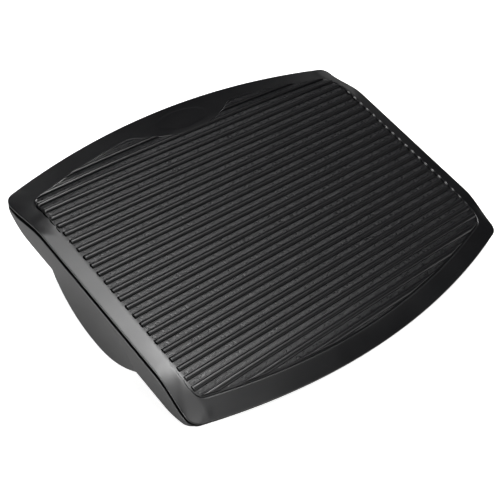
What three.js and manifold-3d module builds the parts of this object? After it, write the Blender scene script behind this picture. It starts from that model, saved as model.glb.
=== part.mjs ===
// A tilting under desk footrest, in millimetres, +Z up, standing on z = 0 with its front towards -Y.
// The platform is drawn flat, with the ribs' tops at height zero. It is then tipped on its axle
// to the rest tilt.
import * as THREE from "three";
import { mergeVertices } from "three/addons/utils/BufferGeometryUtils.js";
import Module from "manifold-3d";

const wasm = await Module();
wasm.setup();

// Fits and cuts
const gap = 0.3; // between neighbours that touch
const overrun = 2; // how far a cutter passes the face it opens
const bind = 0.5; // how far two joined bodies of one moulding run into each other
const runGap = 0.3; // round a turning shaft

// The whole platform, seen from above
const platformWidth = 455;
const frontReach = 175; // field centre to the middle of the front edge
const backReach = 180.5;
const endBow = 33; // how far the ends of the front and back edges fall behind their middles
const cornerRadius = 13;
const restTilt = THREE.MathUtils.degToRad(22.7);
const floorClearance = 2.9; // under the front edge's lip at the rest tilt

// The rim's outer edge lies below the ribs' tops by these drops
const sideEdgeDrop = 3;
const cornerEdgeDrop = 14;
const endEdgeDrop = 15.5;
const edgeFallLength = 56; // stretch of a side edge over which it falls to the corner
const edgeRound = 2.4;
const lipDepth = 2.5;
const rimWall = 3;
const rimRollPower = 1.8;

// The pocket in the deck and the ribbed field in it
const sideRim = 19.5;
const frontRim = 17.6;
const backRim = 35.8;
const fieldFrontBow = 29.3;
const fieldBackBow = 23.3;
const fieldCornerRadius = 8;
const rimLand = 2.5; // flat strip round the pocket before the rim rolls down
const notchDepth = 14.6; // how far the oval place dips into the field
const notchHalfWidth = 59.6;
const notchBlend = 2;
const ribPitch = 10.8;
const ribWidth = 4.4;
const ribHeight = 2.6;
const ribEndGap = 1.8;
const treadPlate = 2.6;
const pocketFloor = 2.6;
const ovalHalfLength = 34.5;
const ovalHalfDepth = 16;
const ovalSink = 1.1;
const ovalTilt = THREE.MathUtils.degToRad(5);

// The tray under the deck: skirt, groove below the rim, floor and side cheeks
const skirtInset = 1.6;
const skirtWall = 4.2;
const grooveDepth = 1.8;
const sideGroove = 2.5;
const endGroove = 0.8;
const endSkirt = 1.7; // wall that shows under the groove at the front and back
const sideSkirtDepth = 11.5; // the side skirt's lower edge below the tray's underside
const skirtRiseLength = 36; // stretch over which the skirt's lower edge rises to the corner
const trayFloor = 3;
const skirtBead = 1;
const cheekHalfLength = 66;
const cheekDepth = 41; // below the skirt's lower edge
const cheekLean = 0.12; // inward travel for each unit of height
const cheekFlange = 18;
const cheekFlangeGrowth = 4; // how fast the flange reaches its width, for each unit of hang
const creaseRound = 16;

// The hinge under the platform
const pivotBelowTray = 21.5;
const axleRadius = 5;
const uprightWall = 9;
const hingeInset = 55.5; // platform's side to an upright's outer face
const washerThickness = 2;
const washerRadius = 11;
const bracketWall = 6;
const bracketHubRadius = 15;
const bracketHalfLength = 28;
const bracketFlangeWidth = 30;
const bracketFlange = 4;
const bushWall = 2;
const bushFlange = 1.6;
const bushFlangeRadius = 10;
const waveWasherThickness = 1.5;
const waveWasherRadius = 9;
const capLength = 10;
const capWall = 2;

// The stand
const baseSetback = 45.75; // platform's front and back edges to the frame's
const baseCornerRadius = 30;
const sideRail = 34;
const endRail = 30;
const railHeight = 9;
const footHeight = 4;
const footRadius = 14;
const footPegRadius = 5;
const footPegHeight = 3;
const footInset = 22;
const uprightHubRadius = 14;
const uprightFootHalfLength = 40;
const uprightFlange = 4;
const stopInset = 68; // frame's side to the middle of a stop pad
const stopWidth = 40;
const stopDepth = 20;
const stopPegRadius = 4;
const stopPegHeight = 4;

// Screws
const screwRadius = 1.8;
const screwHeadRadius = 3.8;
const screwHeadHeight = 2.4;
const screwCrownShare = 0.7;
const screwBevelShare = 0.6;
const bossRadius = 5;
const deckScrewSideInset = 58; // field's side to the deck screws
const deckScrewFrontInset = 45.4; // field's front to the front screws
const deckScrewBackInset = 32.7; // field's back to the back screws
const bracketScrewReach = 18;
const uprightScrewReach = 30;
const railScrewDepth = 7;
const bossHeadroom = 0.8;
const screwTipGap = 1;

// How finely curves are drawn
const cornerSteps = 4;
const backSteps = 40;
const frontSteps = 20;
const deckSideSteps = 10;
const cheekSteps = 18;
const skirtSideSteps = 4;
const roundSides = 20;

const plastic = { color: 0x17181a, roughness: 0.5, metalness: 0 };
const grained = { color: 0x1b1c1e, roughness: 0.6, metalness: 0 };
const rubber = { color: 0x111112, roughness: 0.9, metalness: 0 };
const nylon = { color: 0xcfccc2, roughness: 0.5, metalness: 0 };
const steel = { color: 0x8d9196, roughness: 0.35, metalness: 1 };

// Sizes worked out from the ones above. Drops are measured down from the ribs' tops.
const halfWidth = platformWidth / 2;
const fieldHalfWidth = halfWidth - sideRim;
const fieldFrontReach = frontReach - frontRim;
const fieldBackReach = backReach - backRim;
const sideLength = frontReach - endBow; // middle to the corner, along a side
const edgeDropStart = sideLength - edgeFallLength;
const skirtRiseStart = sideLength - skirtRiseLength;
const pocketDepth = ribHeight + treadPlate + gap;
const deckUnderside = pocketDepth + pocketFloor;
const endLipDrop = endEdgeDrop + lipDepth;
const trayDrop = endLipDrop + endGroove + endSkirt; // the tray's underside
const trayTop = trayDrop - trayFloor;
const skirtDrop = trayDrop + sideSkirtDepth;
const creaseTop = sideEdgeDrop + lipDepth;
const creaseRun = Math.hypot(cheekHalfLength, creaseRound) - creaseRound;
const creaseSlope = (skirtDrop - creaseTop) / creaseRun;
const pivotY = (backReach - frontReach) / 2;
const pivotDrop = trayDrop + pivotBelowTray;
const fieldHeight = frontReach * Math.sin(restTilt) + endLipDrop * Math.cos(restTilt) + floorClearance;
const axleHeight = fieldHeight - pivotDrop * Math.cos(restTilt) + pivotY * Math.sin(restTilt);
const railTop = footHeight + railHeight;

// Along the axle, from an upright's inner face outwards
const uprightOuter = halfWidth - hingeInset;
const uprightInner = uprightOuter - uprightWall;
const washerStart = uprightOuter + gap;
const bracketStart = washerStart + washerThickness + gap;
const bracketEnd = bracketStart + bracketWall;
const bushFlangeStart = bracketEnd + gap;
const waveStart = bushFlangeStart + bushFlange + gap;
const capStart = waveStart + waveWasherThickness + gap;
const capEnd = capStart + capLength;
const axleEnd = capEnd - capWall - gap;
const bushOuter = axleRadius + runGap + bushWall;
const bracketFlangeMiddle = bracketEnd + bracketFlangeWidth / 2;

// The stand, from the floor point under the axle
const baseHalfWidth = uprightOuter;
const baseHalfDepth = (frontReach + backReach) / 2 - baseSetback;
const uprightScrewX = (baseHalfWidth - sideRail + uprightInner) / 2;
const stopReach = baseHalfDepth - endRail / 2;
const stopSpread = baseHalfWidth - stopInset;

function material(finish) {
  return new THREE.MeshStandardMaterial(finish);
}

function named(name, geometry, finish) {
  const mesh = new THREE.Mesh(geometry, material(finish));
  mesh.name = name;
  return mesh;
}

// manifold-3d solids from three.js geometry, and back
function toSolid(geometry) {
  const bare = geometry.index ? geometry.toNonIndexed() : geometry.clone();
  bare.deleteAttribute("normal");
  bare.deleteAttribute("uv");
  const merged = mergeVertices(bare, 1e-4);
  return new wasm.Manifold(
    new wasm.Mesh({
      numProp: 3,
      vertProperties: merged.attributes.position.array,
      triVerts: new Uint32Array(merged.index.array),
    }),
  );
}

function toGeometry(solid) {
  const mesh = solid.getMesh();
  const geometry = new THREE.BufferGeometry();
  geometry.setAttribute("position", new THREE.BufferAttribute(mesh.vertProperties, 3));
  geometry.setIndex(new THREE.BufferAttribute(mesh.triVerts, 1));
  geometry.computeVertexNormals();
  return geometry;
}

function smooth(value, low, high) {
  return THREE.MathUtils.smoothstep(value, low, high);
}

// Evenly spaced numbers from low up to, but without, high
function spread(low, high, steps) {
  return Array.from({ length: steps }, (_, k) => low + ((high - low) * k) / steps);
}

// One end edge: its distance from the middle at a sideways place, and the slope there
function edgeAt(reach, bow, half, x) {
  return reach - bow * (x / half) ** 2;
}

// The rounded corner between a straight side and a bowed end edge, from the side to the end
function cornerArc(half, reach, bow, radius) {
  const slope = Math.atan((2 * bow) / half);
  const touch = half - radius + radius * Math.sin(slope);
  const centreY = edgeAt(reach, bow, half, touch) - radius * Math.cos(slope);
  const centreX = half - radius;
  const sweep = Math.PI / 2 - slope;
  const points = spread(0, sweep, cornerSteps).map(
    (angle) => new THREE.Vector2(centreX + radius * Math.cos(angle), centreY + radius * Math.sin(angle)),
  );
  return { points, touch, sideEnd: centreY };
}

// A closed outline with straight sides and bowed ends, counterclockwise from above.
// stations gives the places along a side, and back moves a point of the back edge.
function outline(sizes, stations, endSteps, back = (x, y) => y) {
  const { half, front, rear, frontBow, rearBow, radius } = sizes;
  const rearCorner = cornerArc(half, rear, rearBow, radius);
  const frontCorner = cornerArc(half, front, frontBow, radius);
  const side = stations(-frontCorner.sideEnd, rearCorner.sideEnd);
  const right = side.map((y) => new THREE.Vector2(half, y));
  const left = side.map((y) => new THREE.Vector2(-half, y)).reverse();
  const rearEdge = spread(rearCorner.touch, -rearCorner.touch, endSteps.back).map(
    (x) => new THREE.Vector2(x, back(x, edgeAt(rear, rearBow, half, x))),
  );
  const frontEdge = spread(-frontCorner.touch, frontCorner.touch, endSteps.front).map(
    (x) => new THREE.Vector2(x, -edgeAt(front, frontBow, half, x)),
  );
  const turn = (points, sx, sy) => points.map((p) => new THREE.Vector2(sx * p.x, sy * p.y));
  const backwards = (corner) => [...corner.points.slice(1)].reverse();
  const endPoint = (corner, sx, sy, reach, bow) =>
    new THREE.Vector2(sx * corner.touch, sy * edgeAt(reach, bow, half, corner.touch));
  return [
    ...right,
    ...rearCorner.points,
    ...rearEdge,
    endPoint(rearCorner, -1, 1, rear, rearBow),
    ...turn(backwards(rearCorner), -1, 1),
    ...left,
    ...turn(frontCorner.points, -1, -1).slice(1),
    ...frontEdge,
    endPoint(frontCorner, 1, -1, front, frontBow),
    ...turn(backwards(frontCorner), 1, -1),
  ];
}

const plainStations = (low, high) => spread(low, high, deckSideSteps);
const cheekStations = (low, high) => [
  ...spread(low, -cheekHalfLength, skirtSideSteps),
  ...spread(-cheekHalfLength, cheekHalfLength, cheekSteps),
  ...spread(cheekHalfLength, high, skirtSideSteps),
];

// The platform's own outline, drawn in by an inset
function platformOutline(inset, stations, endSteps) {
  const half = halfWidth - inset;
  const bow = endBow * (half / halfWidth) ** 2;
  const sizes = {
    half,
    front: frontReach - inset,
    rear: backReach - inset,
    frontBow: bow,
    rearBow: bow,
    radius: cornerRadius - inset * (cornerRadius / (cornerRadius + rimWall)),
  };
  return outline(sizes, stations, endSteps);
}

// The pocket's outline grown by a margin, with or without the dip for the oval place
function notch(x) {
  const rise = notchDepth * (1 - (x / notchHalfWidth) ** 2);
  return (rise + Math.hypot(rise, notchBlend)) / 2;
}

function pocketOutline(margin, stations, endSteps, dipped) {
  const sizes = {
    half: fieldHalfWidth + margin,
    front: fieldFrontReach + margin,
    rear: fieldBackReach + margin,
    frontBow: fieldFrontBow,
    rearBow: fieldBackBow,
    radius: fieldCornerRadius + margin,
  };
  return outline(sizes, stations, endSteps, (x, y) => (dipped ? y - notch(x) : y));
}

// How far the rim's outer edge lies below the ribs' tops
function edgeDrop(point) {
  const away = smooth(Math.abs(point.y), edgeDropStart, sideLength);
  const across = 1 - (point.x / halfWidth) ** 2;
  return sideEdgeDrop + away * (cornerEdgeDrop - sideEdgeDrop + (endEdgeDrop - cornerEdgeDrop) * across);
}

// A surface from rings of equal length: each ring is a list of Vector3, counterclockwise from above.
// With caps it closes on its first and last ring, and without them the last ring joins the first.
function ringSolid(rings, capped) {
  const count = rings[0].length;
  const positions = rings.flat().flatMap((p) => [p.x, p.y, p.z]);
  const index = [];
  const pairs = capped ? rings.length - 1 : rings.length;
  for (let k = 0; k < pairs; k += 1) {
    const inner = k * count;
    const outer = ((k + 1) % rings.length) * count;
    for (let j = 0; j < count; j += 1) {
      const next = (j + 1) % count;
      index.push(inner + j, outer + j, outer + next, inner + j, outer + next, inner + next);
    }
  }
  if (capped) {
    const middle = (ring) => ring.reduce((sum, p) => sum.add(p), new THREE.Vector3()).divideScalar(count);
    const first = positions.length / 3;
    positions.push(...middle(rings[0]).toArray(), ...middle(rings[rings.length - 1]).toArray());
    const last = (rings.length - 1) * count;
    for (let j = 0; j < count; j += 1) {
      const next = (j + 1) % count;
      index.push(first, j, next, first + 1, last + next, last + j);
    }
  }
  const geometry = new THREE.BufferGeometry();
  geometry.setAttribute("position", new THREE.Float32BufferAttribute(positions, 3));
  geometry.setIndex(index);
  return toSolid(geometry);
}

// A flat plate with the given outline, from one height to another
function plate(points, bottom, top, holes = []) {
  const shape = new THREE.Shape(points);
  shape.holes = holes.map((hole) => new THREE.Path(hole));
  const geometry = new THREE.ExtrudeGeometry(shape, { depth: top - bottom, bevelEnabled: false });
  return toSolid(geometry.translate(0, 0, bottom));
}

// A profile in the YZ plane, pushed along X from one place to another
function sideways(points, from, to) {
  const shape = new THREE.Shape(points);
  const geometry = new THREE.ExtrudeGeometry(shape, {
    depth: to - from,
    bevelEnabled: false,
    curveSegments: roundSides / 2,
  });
  const turned = new THREE.Matrix4().set(0, 0, 1, 0, 1, 0, 0, 0, 0, 1, 0, 0, 0, 0, 0, 1);
  return toSolid(geometry.applyMatrix4(turned).translate(from, 0, 0));
}

// A round bar along an axis, "x" or "z"
function bar(radius, from, to, axis, at = new THREE.Vector3()) {
  const geometry = new THREE.CylinderGeometry(radius, radius, to - from, roundSides);
  geometry.translate(0, (from + to) / 2, 0);
  if (axis === "x") geometry.rotateZ(-Math.PI / 2);
  if (axis === "z") geometry.rotateX(Math.PI / 2);
  return toSolid(geometry.translate(at.x, at.y, at.z));
}

// A turned ring along X, between two radii
function washer(inner, outer, from, to) {
  return bar(outer, from, to, "x").subtract(bar(inner, from - overrun, to + overrun, "x"));
}

// A round hole in a solid, along Z between two heights
function drill(solid, radius, from, to, at) {
  return solid.subtract(bar(radius, from, to, "z", at));
}

const deckEnds = { back: backSteps, front: frontSteps };
const trayEnds = { back: frontSteps, front: frontSteps };

// Places of the deck screws, in the platform's own frame
const deckScrewSpread = fieldHalfWidth - deckScrewSideInset;
const deckScrewRows = [
  { row: "front", y: deckScrewFrontInset - fieldFrontReach },
  { row: "middle", y: 0 },
  { row: "back", y: fieldBackReach - deckScrewBackInset },
];
const deckScrews = [-1, 1].flatMap((sx) =>
  deckScrewRows.map(({ row, y }) => ({
    name: row + (sx < 0 ? "_left" : "_right"),
    at: new THREE.Vector3(sx * deckScrewSpread, y, 0),
  })),
);
const bracketScrews = [-1, 1].flatMap((sx) =>
  [-1, 1].map((sy) => ({
    name: (sx < 0 ? "left" : "right") + (sy < 0 ? "_front" : "_back"),
    at: new THREE.Vector3(sx * bracketFlangeMiddle, pivotY + sy * bracketScrewReach, 0),
  })),
);

// The top moulding: pocket, rim that rolls down to its edge, and a lip under the edge
function deck() {
  const pocket = pocketOutline(0, plainStations, deckEnds, true);
  const land = pocketOutline(rimLand, plainStations, deckEnds, false);
  const edge = platformOutline(0, plainStations, deckEnds);
  const lipInner = platformOutline(rimWall, plainStations, deckEnds);
  const under = pocketOutline(rimWall, plainStations, deckEnds, true);
  const level = (points, z) => points.map((p) => new THREE.Vector3(p.x, p.y, z));
  const rimShares = [0.35, 0.65, 0.85];
  const rimDrop = (share, drop) => (drop - edgeRound) * share ** rimRollPower;
  const rimRing = (share, below) =>
    land.map((p, j) => {
      const q = p.clone().lerp(edge[j], share);
      return new THREE.Vector3(q.x, q.y, -rimDrop(share, edgeDrop(edge[j])) - below);
    });
  const edgeRing = (inset, below) =>
    platformOutline(inset, plainStations, deckEnds).map(
      (p, j) => new THREE.Vector3(p.x, p.y, -edgeDrop(edge[j]) - below),
    );
  const rings = [
    level(pocket, -pocketDepth),
    level(pocket, 0),
    level(land, 0),
    ...rimShares.map((share) => rimRing(share, 0)),
    edgeRing(edgeRound, -edgeRound),
    edgeRing(edgeRound * (1 - Math.SQRT1_2), -edgeRound * Math.SQRT1_2),
    edgeRing(0, 0),
    edgeRing(0, lipDepth - bind),
    edgeRing(bind, lipDepth),
    lipInner.map((p, j) => new THREE.Vector3(p.x, p.y, -edgeDrop(edge[j]) - lipDepth)),
    lipInner.map((p, j) => new THREE.Vector3(p.x, p.y, -edgeDrop(edge[j]) + edgeRound - rimWall)),
    ...rimShares.slice(0, 2).reverse().map((share) => rimRing(share, rimWall)),
    level(land, -rimWall),
    level(under, -rimWall - bind),
    level(under, -deckUnderside),
  ];
  let solid = ringSolid(rings, true);
  solid = solid.subtract(ovalCutter());
  for (const screw of deckScrews) {
    const foot = -trayTop + gap;
    solid = solid.add(bar(bossRadius, foot, -deckUnderside + bind, "z", screw.at));
    solid = drill(solid, screwRadius + gap, foot - overrun, -deckUnderside, screw.at);
  }
  return toGeometry(solid);
}

// The bare oval place at the back of the rim is a shallow dish
function ovalCutter() {
  const geometry = new THREE.SphereGeometry(1, roundSides, roundSides / 2);
  geometry.scale(ovalHalfLength, ovalHalfDepth, ovalSink);
  geometry.rotateX(-ovalTilt);
  return toSolid(geometry.translate(0, fieldBackReach, -ovalSink / 2));
}

// A rib's section: a rounded ridge on the plate
function ribSection(y) {
  const half = ribWidth / 2;
  const sectionShares = [
    [1, 0],
    [0.86, 0.62],
    [0.5, 0.93],
    [0, 1],
  ];
  const right = sectionShares.map(([a, b]) => [y + a * half, -ribHeight + b * ribHeight]);
  const left = sectionShares.slice(0, 3).map(([a, b]) => [y - a * half, -ribHeight + b * ribHeight]);
  const foot = -ribHeight - bind;
  return [[y - half, foot], [y + half, foot], ...right, ...left.reverse()].map(
    ([a, b]) => new THREE.Vector2(a, b),
  );
}

// The ribbed standing field that lies in the pocket
function treadPanel() {
  const bottom = -ribHeight - treadPlate;
  const shape = pocketOutline(-gap, plainStations, deckEnds, true);
  const ribArea = pocketOutline(-ribEndGap, plainStations, deckEnds, true);
  let ribs = null;
  const firstRib = -Math.floor(fieldFrontReach / ribPitch);
  const lastRib = Math.floor(fieldBackReach / ribPitch);
  for (let k = firstRib; k <= lastRib; k += 1) {
    const rib = sideways(ribSection(k * ribPitch), -fieldHalfWidth, fieldHalfWidth);
    ribs = ribs ? ribs.add(rib) : rib;
  }
  ribs = ribs.intersect(plate(ribArea, bottom - overrun, overrun));
  return toGeometry(plate(shape, bottom, -ribHeight).add(ribs));
}

// Directions straight into a counterclockwise outline at each of its points
function inwardNormals(points) {
  return points.map((_, j) => {
    const before = points[(j + points.length - 1) % points.length];
    const after = points[(j + 1) % points.length];
    return new THREE.Vector2(before.y - after.y, after.x - before.x).normalize();
  });
}

// Height of the tray's lower edge at a place of its outline
function skirtBottom(point) {
  const away = Math.abs(point.y);
  const rise = Math.min(Math.max((away - skirtRiseStart) / skirtRiseLength, 0), 1) ** 2;
  return -skirtDrop + rise * (skirtDrop - trayDrop) - cheekDepth * cheekHang(point.y);
}

// The cheek's lower edge is a parabola: the share of its full depth at a place along the side
function cheekHang(y) {
  return Math.max(1 - (y / cheekHalfLength) ** 2, 0);
}

// The crease where the cheek starts to lean inward: an arch with its top under the rim
function creaseHeight(y) {
  return -creaseTop - creaseSlope * (Math.hypot(y, creaseRound) - creaseRound);
}

function traySection(point) {
  const onCheek = Math.abs(point.y) < cheekHalfLength;
  const away = smooth(Math.abs(point.y), edgeDropStart, sideLength);
  const lip = -edgeDrop(point) - lipDepth;
  const top = lip - sideGroove + away * (sideGroove - endGroove);
  const bottom = skirtBottom(point);
  const crease = onCheek ? Math.min(creaseHeight(point.y), top - gap) : (top + bottom) / 2;
  const lean = onCheek ? cheekLean * Math.max(crease - bottom, 0) : 0;
  const outer = skirtInset;
  const inner = skirtInset + skirtWall;
  const flangeShare = Math.min(cheekFlangeGrowth * cheekHang(point.y), 1);
  const flangeEnd = inner + lean + skirtBead + cheekFlange * flangeShare;
  const flange = Math.min(trayFloor, (top - bottom) / 2);
  return [
    [outer, top],
    [outer, crease],
    [outer + lean, bottom],
    [flangeEnd, bottom],
    [flangeEnd, bottom + flange],
    [inner + lean, bottom + flange],
    [inner, lip - gap],
    [outer + grooveDepth, lip - gap],
    [outer + grooveDepth, top],
  ];
}

// The lower moulding: a wall that follows the rim, the two cheeks, a floor and screw bosses
function underTray() {
  const edge = platformOutline(0, cheekStations, trayEnds);
  const sections = edge.map(traySection);
  const inward = inwardNormals(edge);
  const rings = sections[0].map((_, k) =>
    edge.map((p, j) => {
      const [inset, z] = sections[j][k];
      return new THREE.Vector3(p.x + inset * inward[j].x, p.y + inset * inward[j].y, z);
    }),
  );
  let solid = ringSolid(rings, false);
  const floorOutline = platformOutline(skirtInset + skirtWall - bind, plainStations, trayEnds);
  solid = solid.add(plate(floorOutline, -trayDrop, -trayTop));
  for (const screw of deckScrews) {
    solid = drill(solid, screwRadius + gap, -trayDrop - overrun, -trayTop + overrun, screw.at);
  }
  for (const screw of bracketScrews) {
    const bossTop = -deckUnderside - bossHeadroom;
    solid = solid.add(bar(bossRadius, -trayTop - bind, bossTop, "z", screw.at));
    solid = drill(solid, screwRadius + gap, -trayDrop - overrun, bossTop - bossHeadroom, screw.at);
  }
  return toGeometry(solid);
}

// A pan head screw that points up, its head's top face at the given height
function screwUp(seat, tip) {
  const profile = [
    [0, seat - screwHeadHeight],
    [screwHeadRadius * screwCrownShare, seat - screwHeadHeight],
    [screwHeadRadius, seat - screwHeadHeight * screwBevelShare],
    [screwHeadRadius, seat],
    [screwRadius, seat],
    [screwRadius, tip - screwRadius],
    [0, tip],
  ];
  const geometry = new THREE.LatheGeometry(
    profile.map(([r, z]) => new THREE.Vector2(r, z)),
    roundSides / 2,
  );
  return geometry.rotateX(Math.PI / 2);
}

// The bracket that carries the platform, drawn about the axle for the +X side
function hingeBracket() {
  const flangeTop = pivotDrop - trayDrop - gap;
  const hub = bar(bracketHubRadius, bracketStart, bracketEnd, "x");
  const web = sideways(
    [
      new THREE.Vector2(-bracketHubRadius, 0),
      new THREE.Vector2(bracketHubRadius, 0),
      new THREE.Vector2(bracketHalfLength, flangeTop - bracketFlange),
      new THREE.Vector2(bracketHalfLength, flangeTop),
      new THREE.Vector2(-bracketHalfLength, flangeTop),
      new THREE.Vector2(-bracketHalfLength, flangeTop - bracketFlange),
    ],
    bracketStart,
    bracketEnd,
  );
  const flange = sideways(
    [
      new THREE.Vector2(-bracketHalfLength, flangeTop - bracketFlange),
      new THREE.Vector2(bracketHalfLength, flangeTop - bracketFlange),
      new THREE.Vector2(bracketHalfLength, flangeTop),
      new THREE.Vector2(-bracketHalfLength, flangeTop),
    ],
    bracketEnd - bind,
    bracketEnd + bracketFlangeWidth,
  );
  let solid = hub.add(web).add(flange);
  solid = solid.subtract(bar(bushOuter + gap, bracketStart - overrun, bracketEnd + overrun, "x"));
  for (const sy of [-1, 1]) {
    const at = new THREE.Vector3(bracketFlangeMiddle, sy * bracketScrewReach, 0);
    solid = drill(solid, screwRadius + gap, flangeTop - bracketFlange - overrun, flangeTop + overrun, at);
  }
  return toGeometry(solid);
}

function bush() {
  const sleeve = bar(bushOuter, bracketStart, bushFlangeStart + bind, "x");
  const flange = bar(bushFlangeRadius, bushFlangeStart, bushFlangeStart + bushFlange, "x");
  const bore = bar(axleRadius + runGap, bracketStart - overrun, waveStart + overrun, "x");
  return toGeometry(sleeve.add(flange).subtract(bore));
}

function axleCap() {
  const outer = bar(axleRadius + gap + capWall, capStart, capEnd, "x");
  const bore = bar(axleRadius + gap, capStart - overrun, capEnd - capWall, "x");
  return toGeometry(outer.subtract(bore));
}

function roundedRectangle(half, depth, radius) {
  const shape = new THREE.Shape();
  shape.moveTo(half, -depth + radius);
  shape.lineTo(half, depth - radius);
  shape.absarc(half - radius, depth - radius, radius, 0, Math.PI / 2);
  shape.lineTo(-half + radius, depth);
  shape.absarc(-half + radius, depth - radius, radius, Math.PI / 2, Math.PI);
  shape.lineTo(-half, -depth + radius);
  shape.absarc(-half + radius, -depth + radius, radius, Math.PI, (3 * Math.PI) / 2);
  shape.lineTo(half - radius, -depth);
  shape.absarc(half - radius, -depth + radius, radius, (3 * Math.PI) / 2, 2 * Math.PI);
  return shape.getPoints(cornerSteps);
}

const corners = [-1, 1].flatMap((sx) =>
  [-1, 1].map((sy) => ({ name: (sy < 0 ? "front" : "back") + (sx < 0 ? "_left" : "_right"), sx, sy })),
);

// The floor frame: a flat ring with seats for the feet, the stop pads and the uprights' screws
function baseFrame() {
  const outer = roundedRectangle(baseHalfWidth, baseHalfDepth, baseCornerRadius);
  const innerRadius = baseCornerRadius / 2;
  const inner = roundedRectangle(baseHalfWidth - sideRail, baseHalfDepth - endRail, innerRadius);
  let solid = plate(outer, footHeight, railTop, [inner]);
  for (const { sx, sy } of corners) {
    const foot = new THREE.Vector3(sx * (baseHalfWidth - footInset), sy * (baseHalfDepth - footInset), 0);
    const stop = new THREE.Vector3(sx * stopSpread, sy * stopReach, 0);
    const screw = new THREE.Vector3(sx * uprightScrewX, sy * uprightScrewReach, 0);
    const pegTop = footHeight + footPegHeight + gap;
    solid = drill(solid, footPegRadius + gap, footHeight - overrun, pegTop, foot);
    solid = drill(solid, stopPegRadius + gap, railTop - stopPegHeight - gap, railTop + overrun, stop);
    solid = drill(solid, screwRadius + gap, railTop - railScrewDepth, railTop + overrun, screw);
  }
  return toGeometry(solid);
}

// The stand's side plate with its foot flange on the rail, drawn for the +X side
function upright() {
  const bottom = railTop + gap;
  const web = sideways(
    [
      new THREE.Vector2(-uprightFootHalfLength, bottom),
      new THREE.Vector2(uprightFootHalfLength, bottom),
      new THREE.Vector2(uprightFootHalfLength, bottom + uprightFlange),
      new THREE.Vector2(uprightHubRadius, axleHeight),
      new THREE.Vector2(-uprightHubRadius, axleHeight),
      new THREE.Vector2(-uprightFootHalfLength, bottom + uprightFlange),
    ],
    uprightInner,
    uprightOuter,
  );
  const flange = sideways(
    [
      new THREE.Vector2(-uprightFootHalfLength, bottom),
      new THREE.Vector2(uprightFootHalfLength, bottom),
      new THREE.Vector2(uprightFootHalfLength, bottom + uprightFlange),
      new THREE.Vector2(-uprightFootHalfLength, bottom + uprightFlange),
    ],
    baseHalfWidth - sideRail,
    uprightInner + bind,
  );
  const axleAt = new THREE.Vector3(0, 0, axleHeight);
  let solid = web.add(flange).add(bar(uprightHubRadius, uprightInner, uprightOuter, "x", axleAt));
  const axleHole = bar(axleRadius + gap, uprightInner - overrun, uprightOuter + overrun, "x", axleAt);
  solid = solid.subtract(axleHole);
  for (const sy of [-1, 1]) {
    const at = new THREE.Vector3(uprightScrewX, sy * uprightScrewReach, 0);
    solid = drill(solid, screwRadius + gap, bottom - overrun, bottom + uprightFlange + overrun, at);
  }
  return toGeometry(solid);
}

// A rubber foot with the peg that holds it in the frame
function foot() {
  const pad = bar(footRadius, 0, footHeight - gap, "z");
  return toGeometry(pad.add(bar(footPegRadius, 0, footHeight + footPegHeight, "z")));
}

// A rubber wedge that the tray lands on at the end of its tilt, with its peg, for the back edge
function stopPad() {
  const underside = (reach) =>
    axleHeight + (pivotDrop - trayDrop) / Math.cos(restTilt) - reach * Math.tan(restTilt) - gap;
  const near = stopReach - stopDepth / 2;
  const far = stopReach + stopDepth / 2;
  const bottom = railTop + gap;
  const wedge = sideways(
    [
      new THREE.Vector2(near, bottom),
      new THREE.Vector2(far, bottom),
      new THREE.Vector2(far, underside(far)),
      new THREE.Vector2(near, underside(near)),
    ],
    -stopWidth / 2,
    stopWidth / 2,
  );
  const pegAt = new THREE.Vector3(0, stopReach, 0);
  const peg = bar(stopPegRadius, railTop - stopPegHeight, bottom + bind, "z", pegAt);
  return toGeometry(wedge.add(peg));
}

// Mirrored copies are flipped in the mesh, so that every face still points outwards
function mirrored(geometry, sx, sy) {
  const copy = geometry.clone().scale(sx, sy, 1);
  if (sx * sy < 0) {
    const index = copy.index.array;
    for (let k = 0; k < index.length; k += 3) {
      [index[k + 1], index[k + 2]] = [index[k + 2], index[k + 1]];
    }
  }
  return copy;
}

// The tilting platform: its own frame has the ribs' tops at height zero
const platform = new THREE.Group();
platform.rotation.x = restTilt;
platform.position.z = fieldHeight;
platform.add(named("deck", deck(), plastic));
platform.add(named("tread_panel", treadPanel(), grained));
platform.add(named("under_tray", underTray(), plastic));
for (const { name, at } of deckScrews) {
  const screw = named("deck_screw_" + name, screwUp(-trayDrop - gap, -deckUnderside - screwTipGap), steel);
  screw.position.copy(at);
  platform.add(screw);
}
for (const { name, at } of bracketScrews) {
  const seat = -trayDrop - gap - bracketFlange - gap;
  const tip = -deckUnderside - 2 * bossHeadroom - screwTipGap;
  const screw = named("bracket_screw_" + name, screwUp(seat, tip), steel);
  screw.position.copy(at);
  platform.add(screw);
}
const hinge = new THREE.Group();
hinge.position.set(0, pivotY, -pivotDrop);
platform.add(hinge);

// The stand, drawn about the floor point under the axle
const stand = new THREE.Group();
const axleOffset = pivotY * Math.cos(restTilt) + pivotDrop * Math.sin(restTilt);
stand.position.y = axleOffset;
stand.add(named("base_frame", baseFrame(), plastic));
const axleLine = new THREE.Group();
axleLine.position.z = axleHeight;
stand.add(axleLine);
axleLine.add(named("pivot_axle", toGeometry(bar(axleRadius, -axleEnd, axleEnd, "x")), steel));

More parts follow.
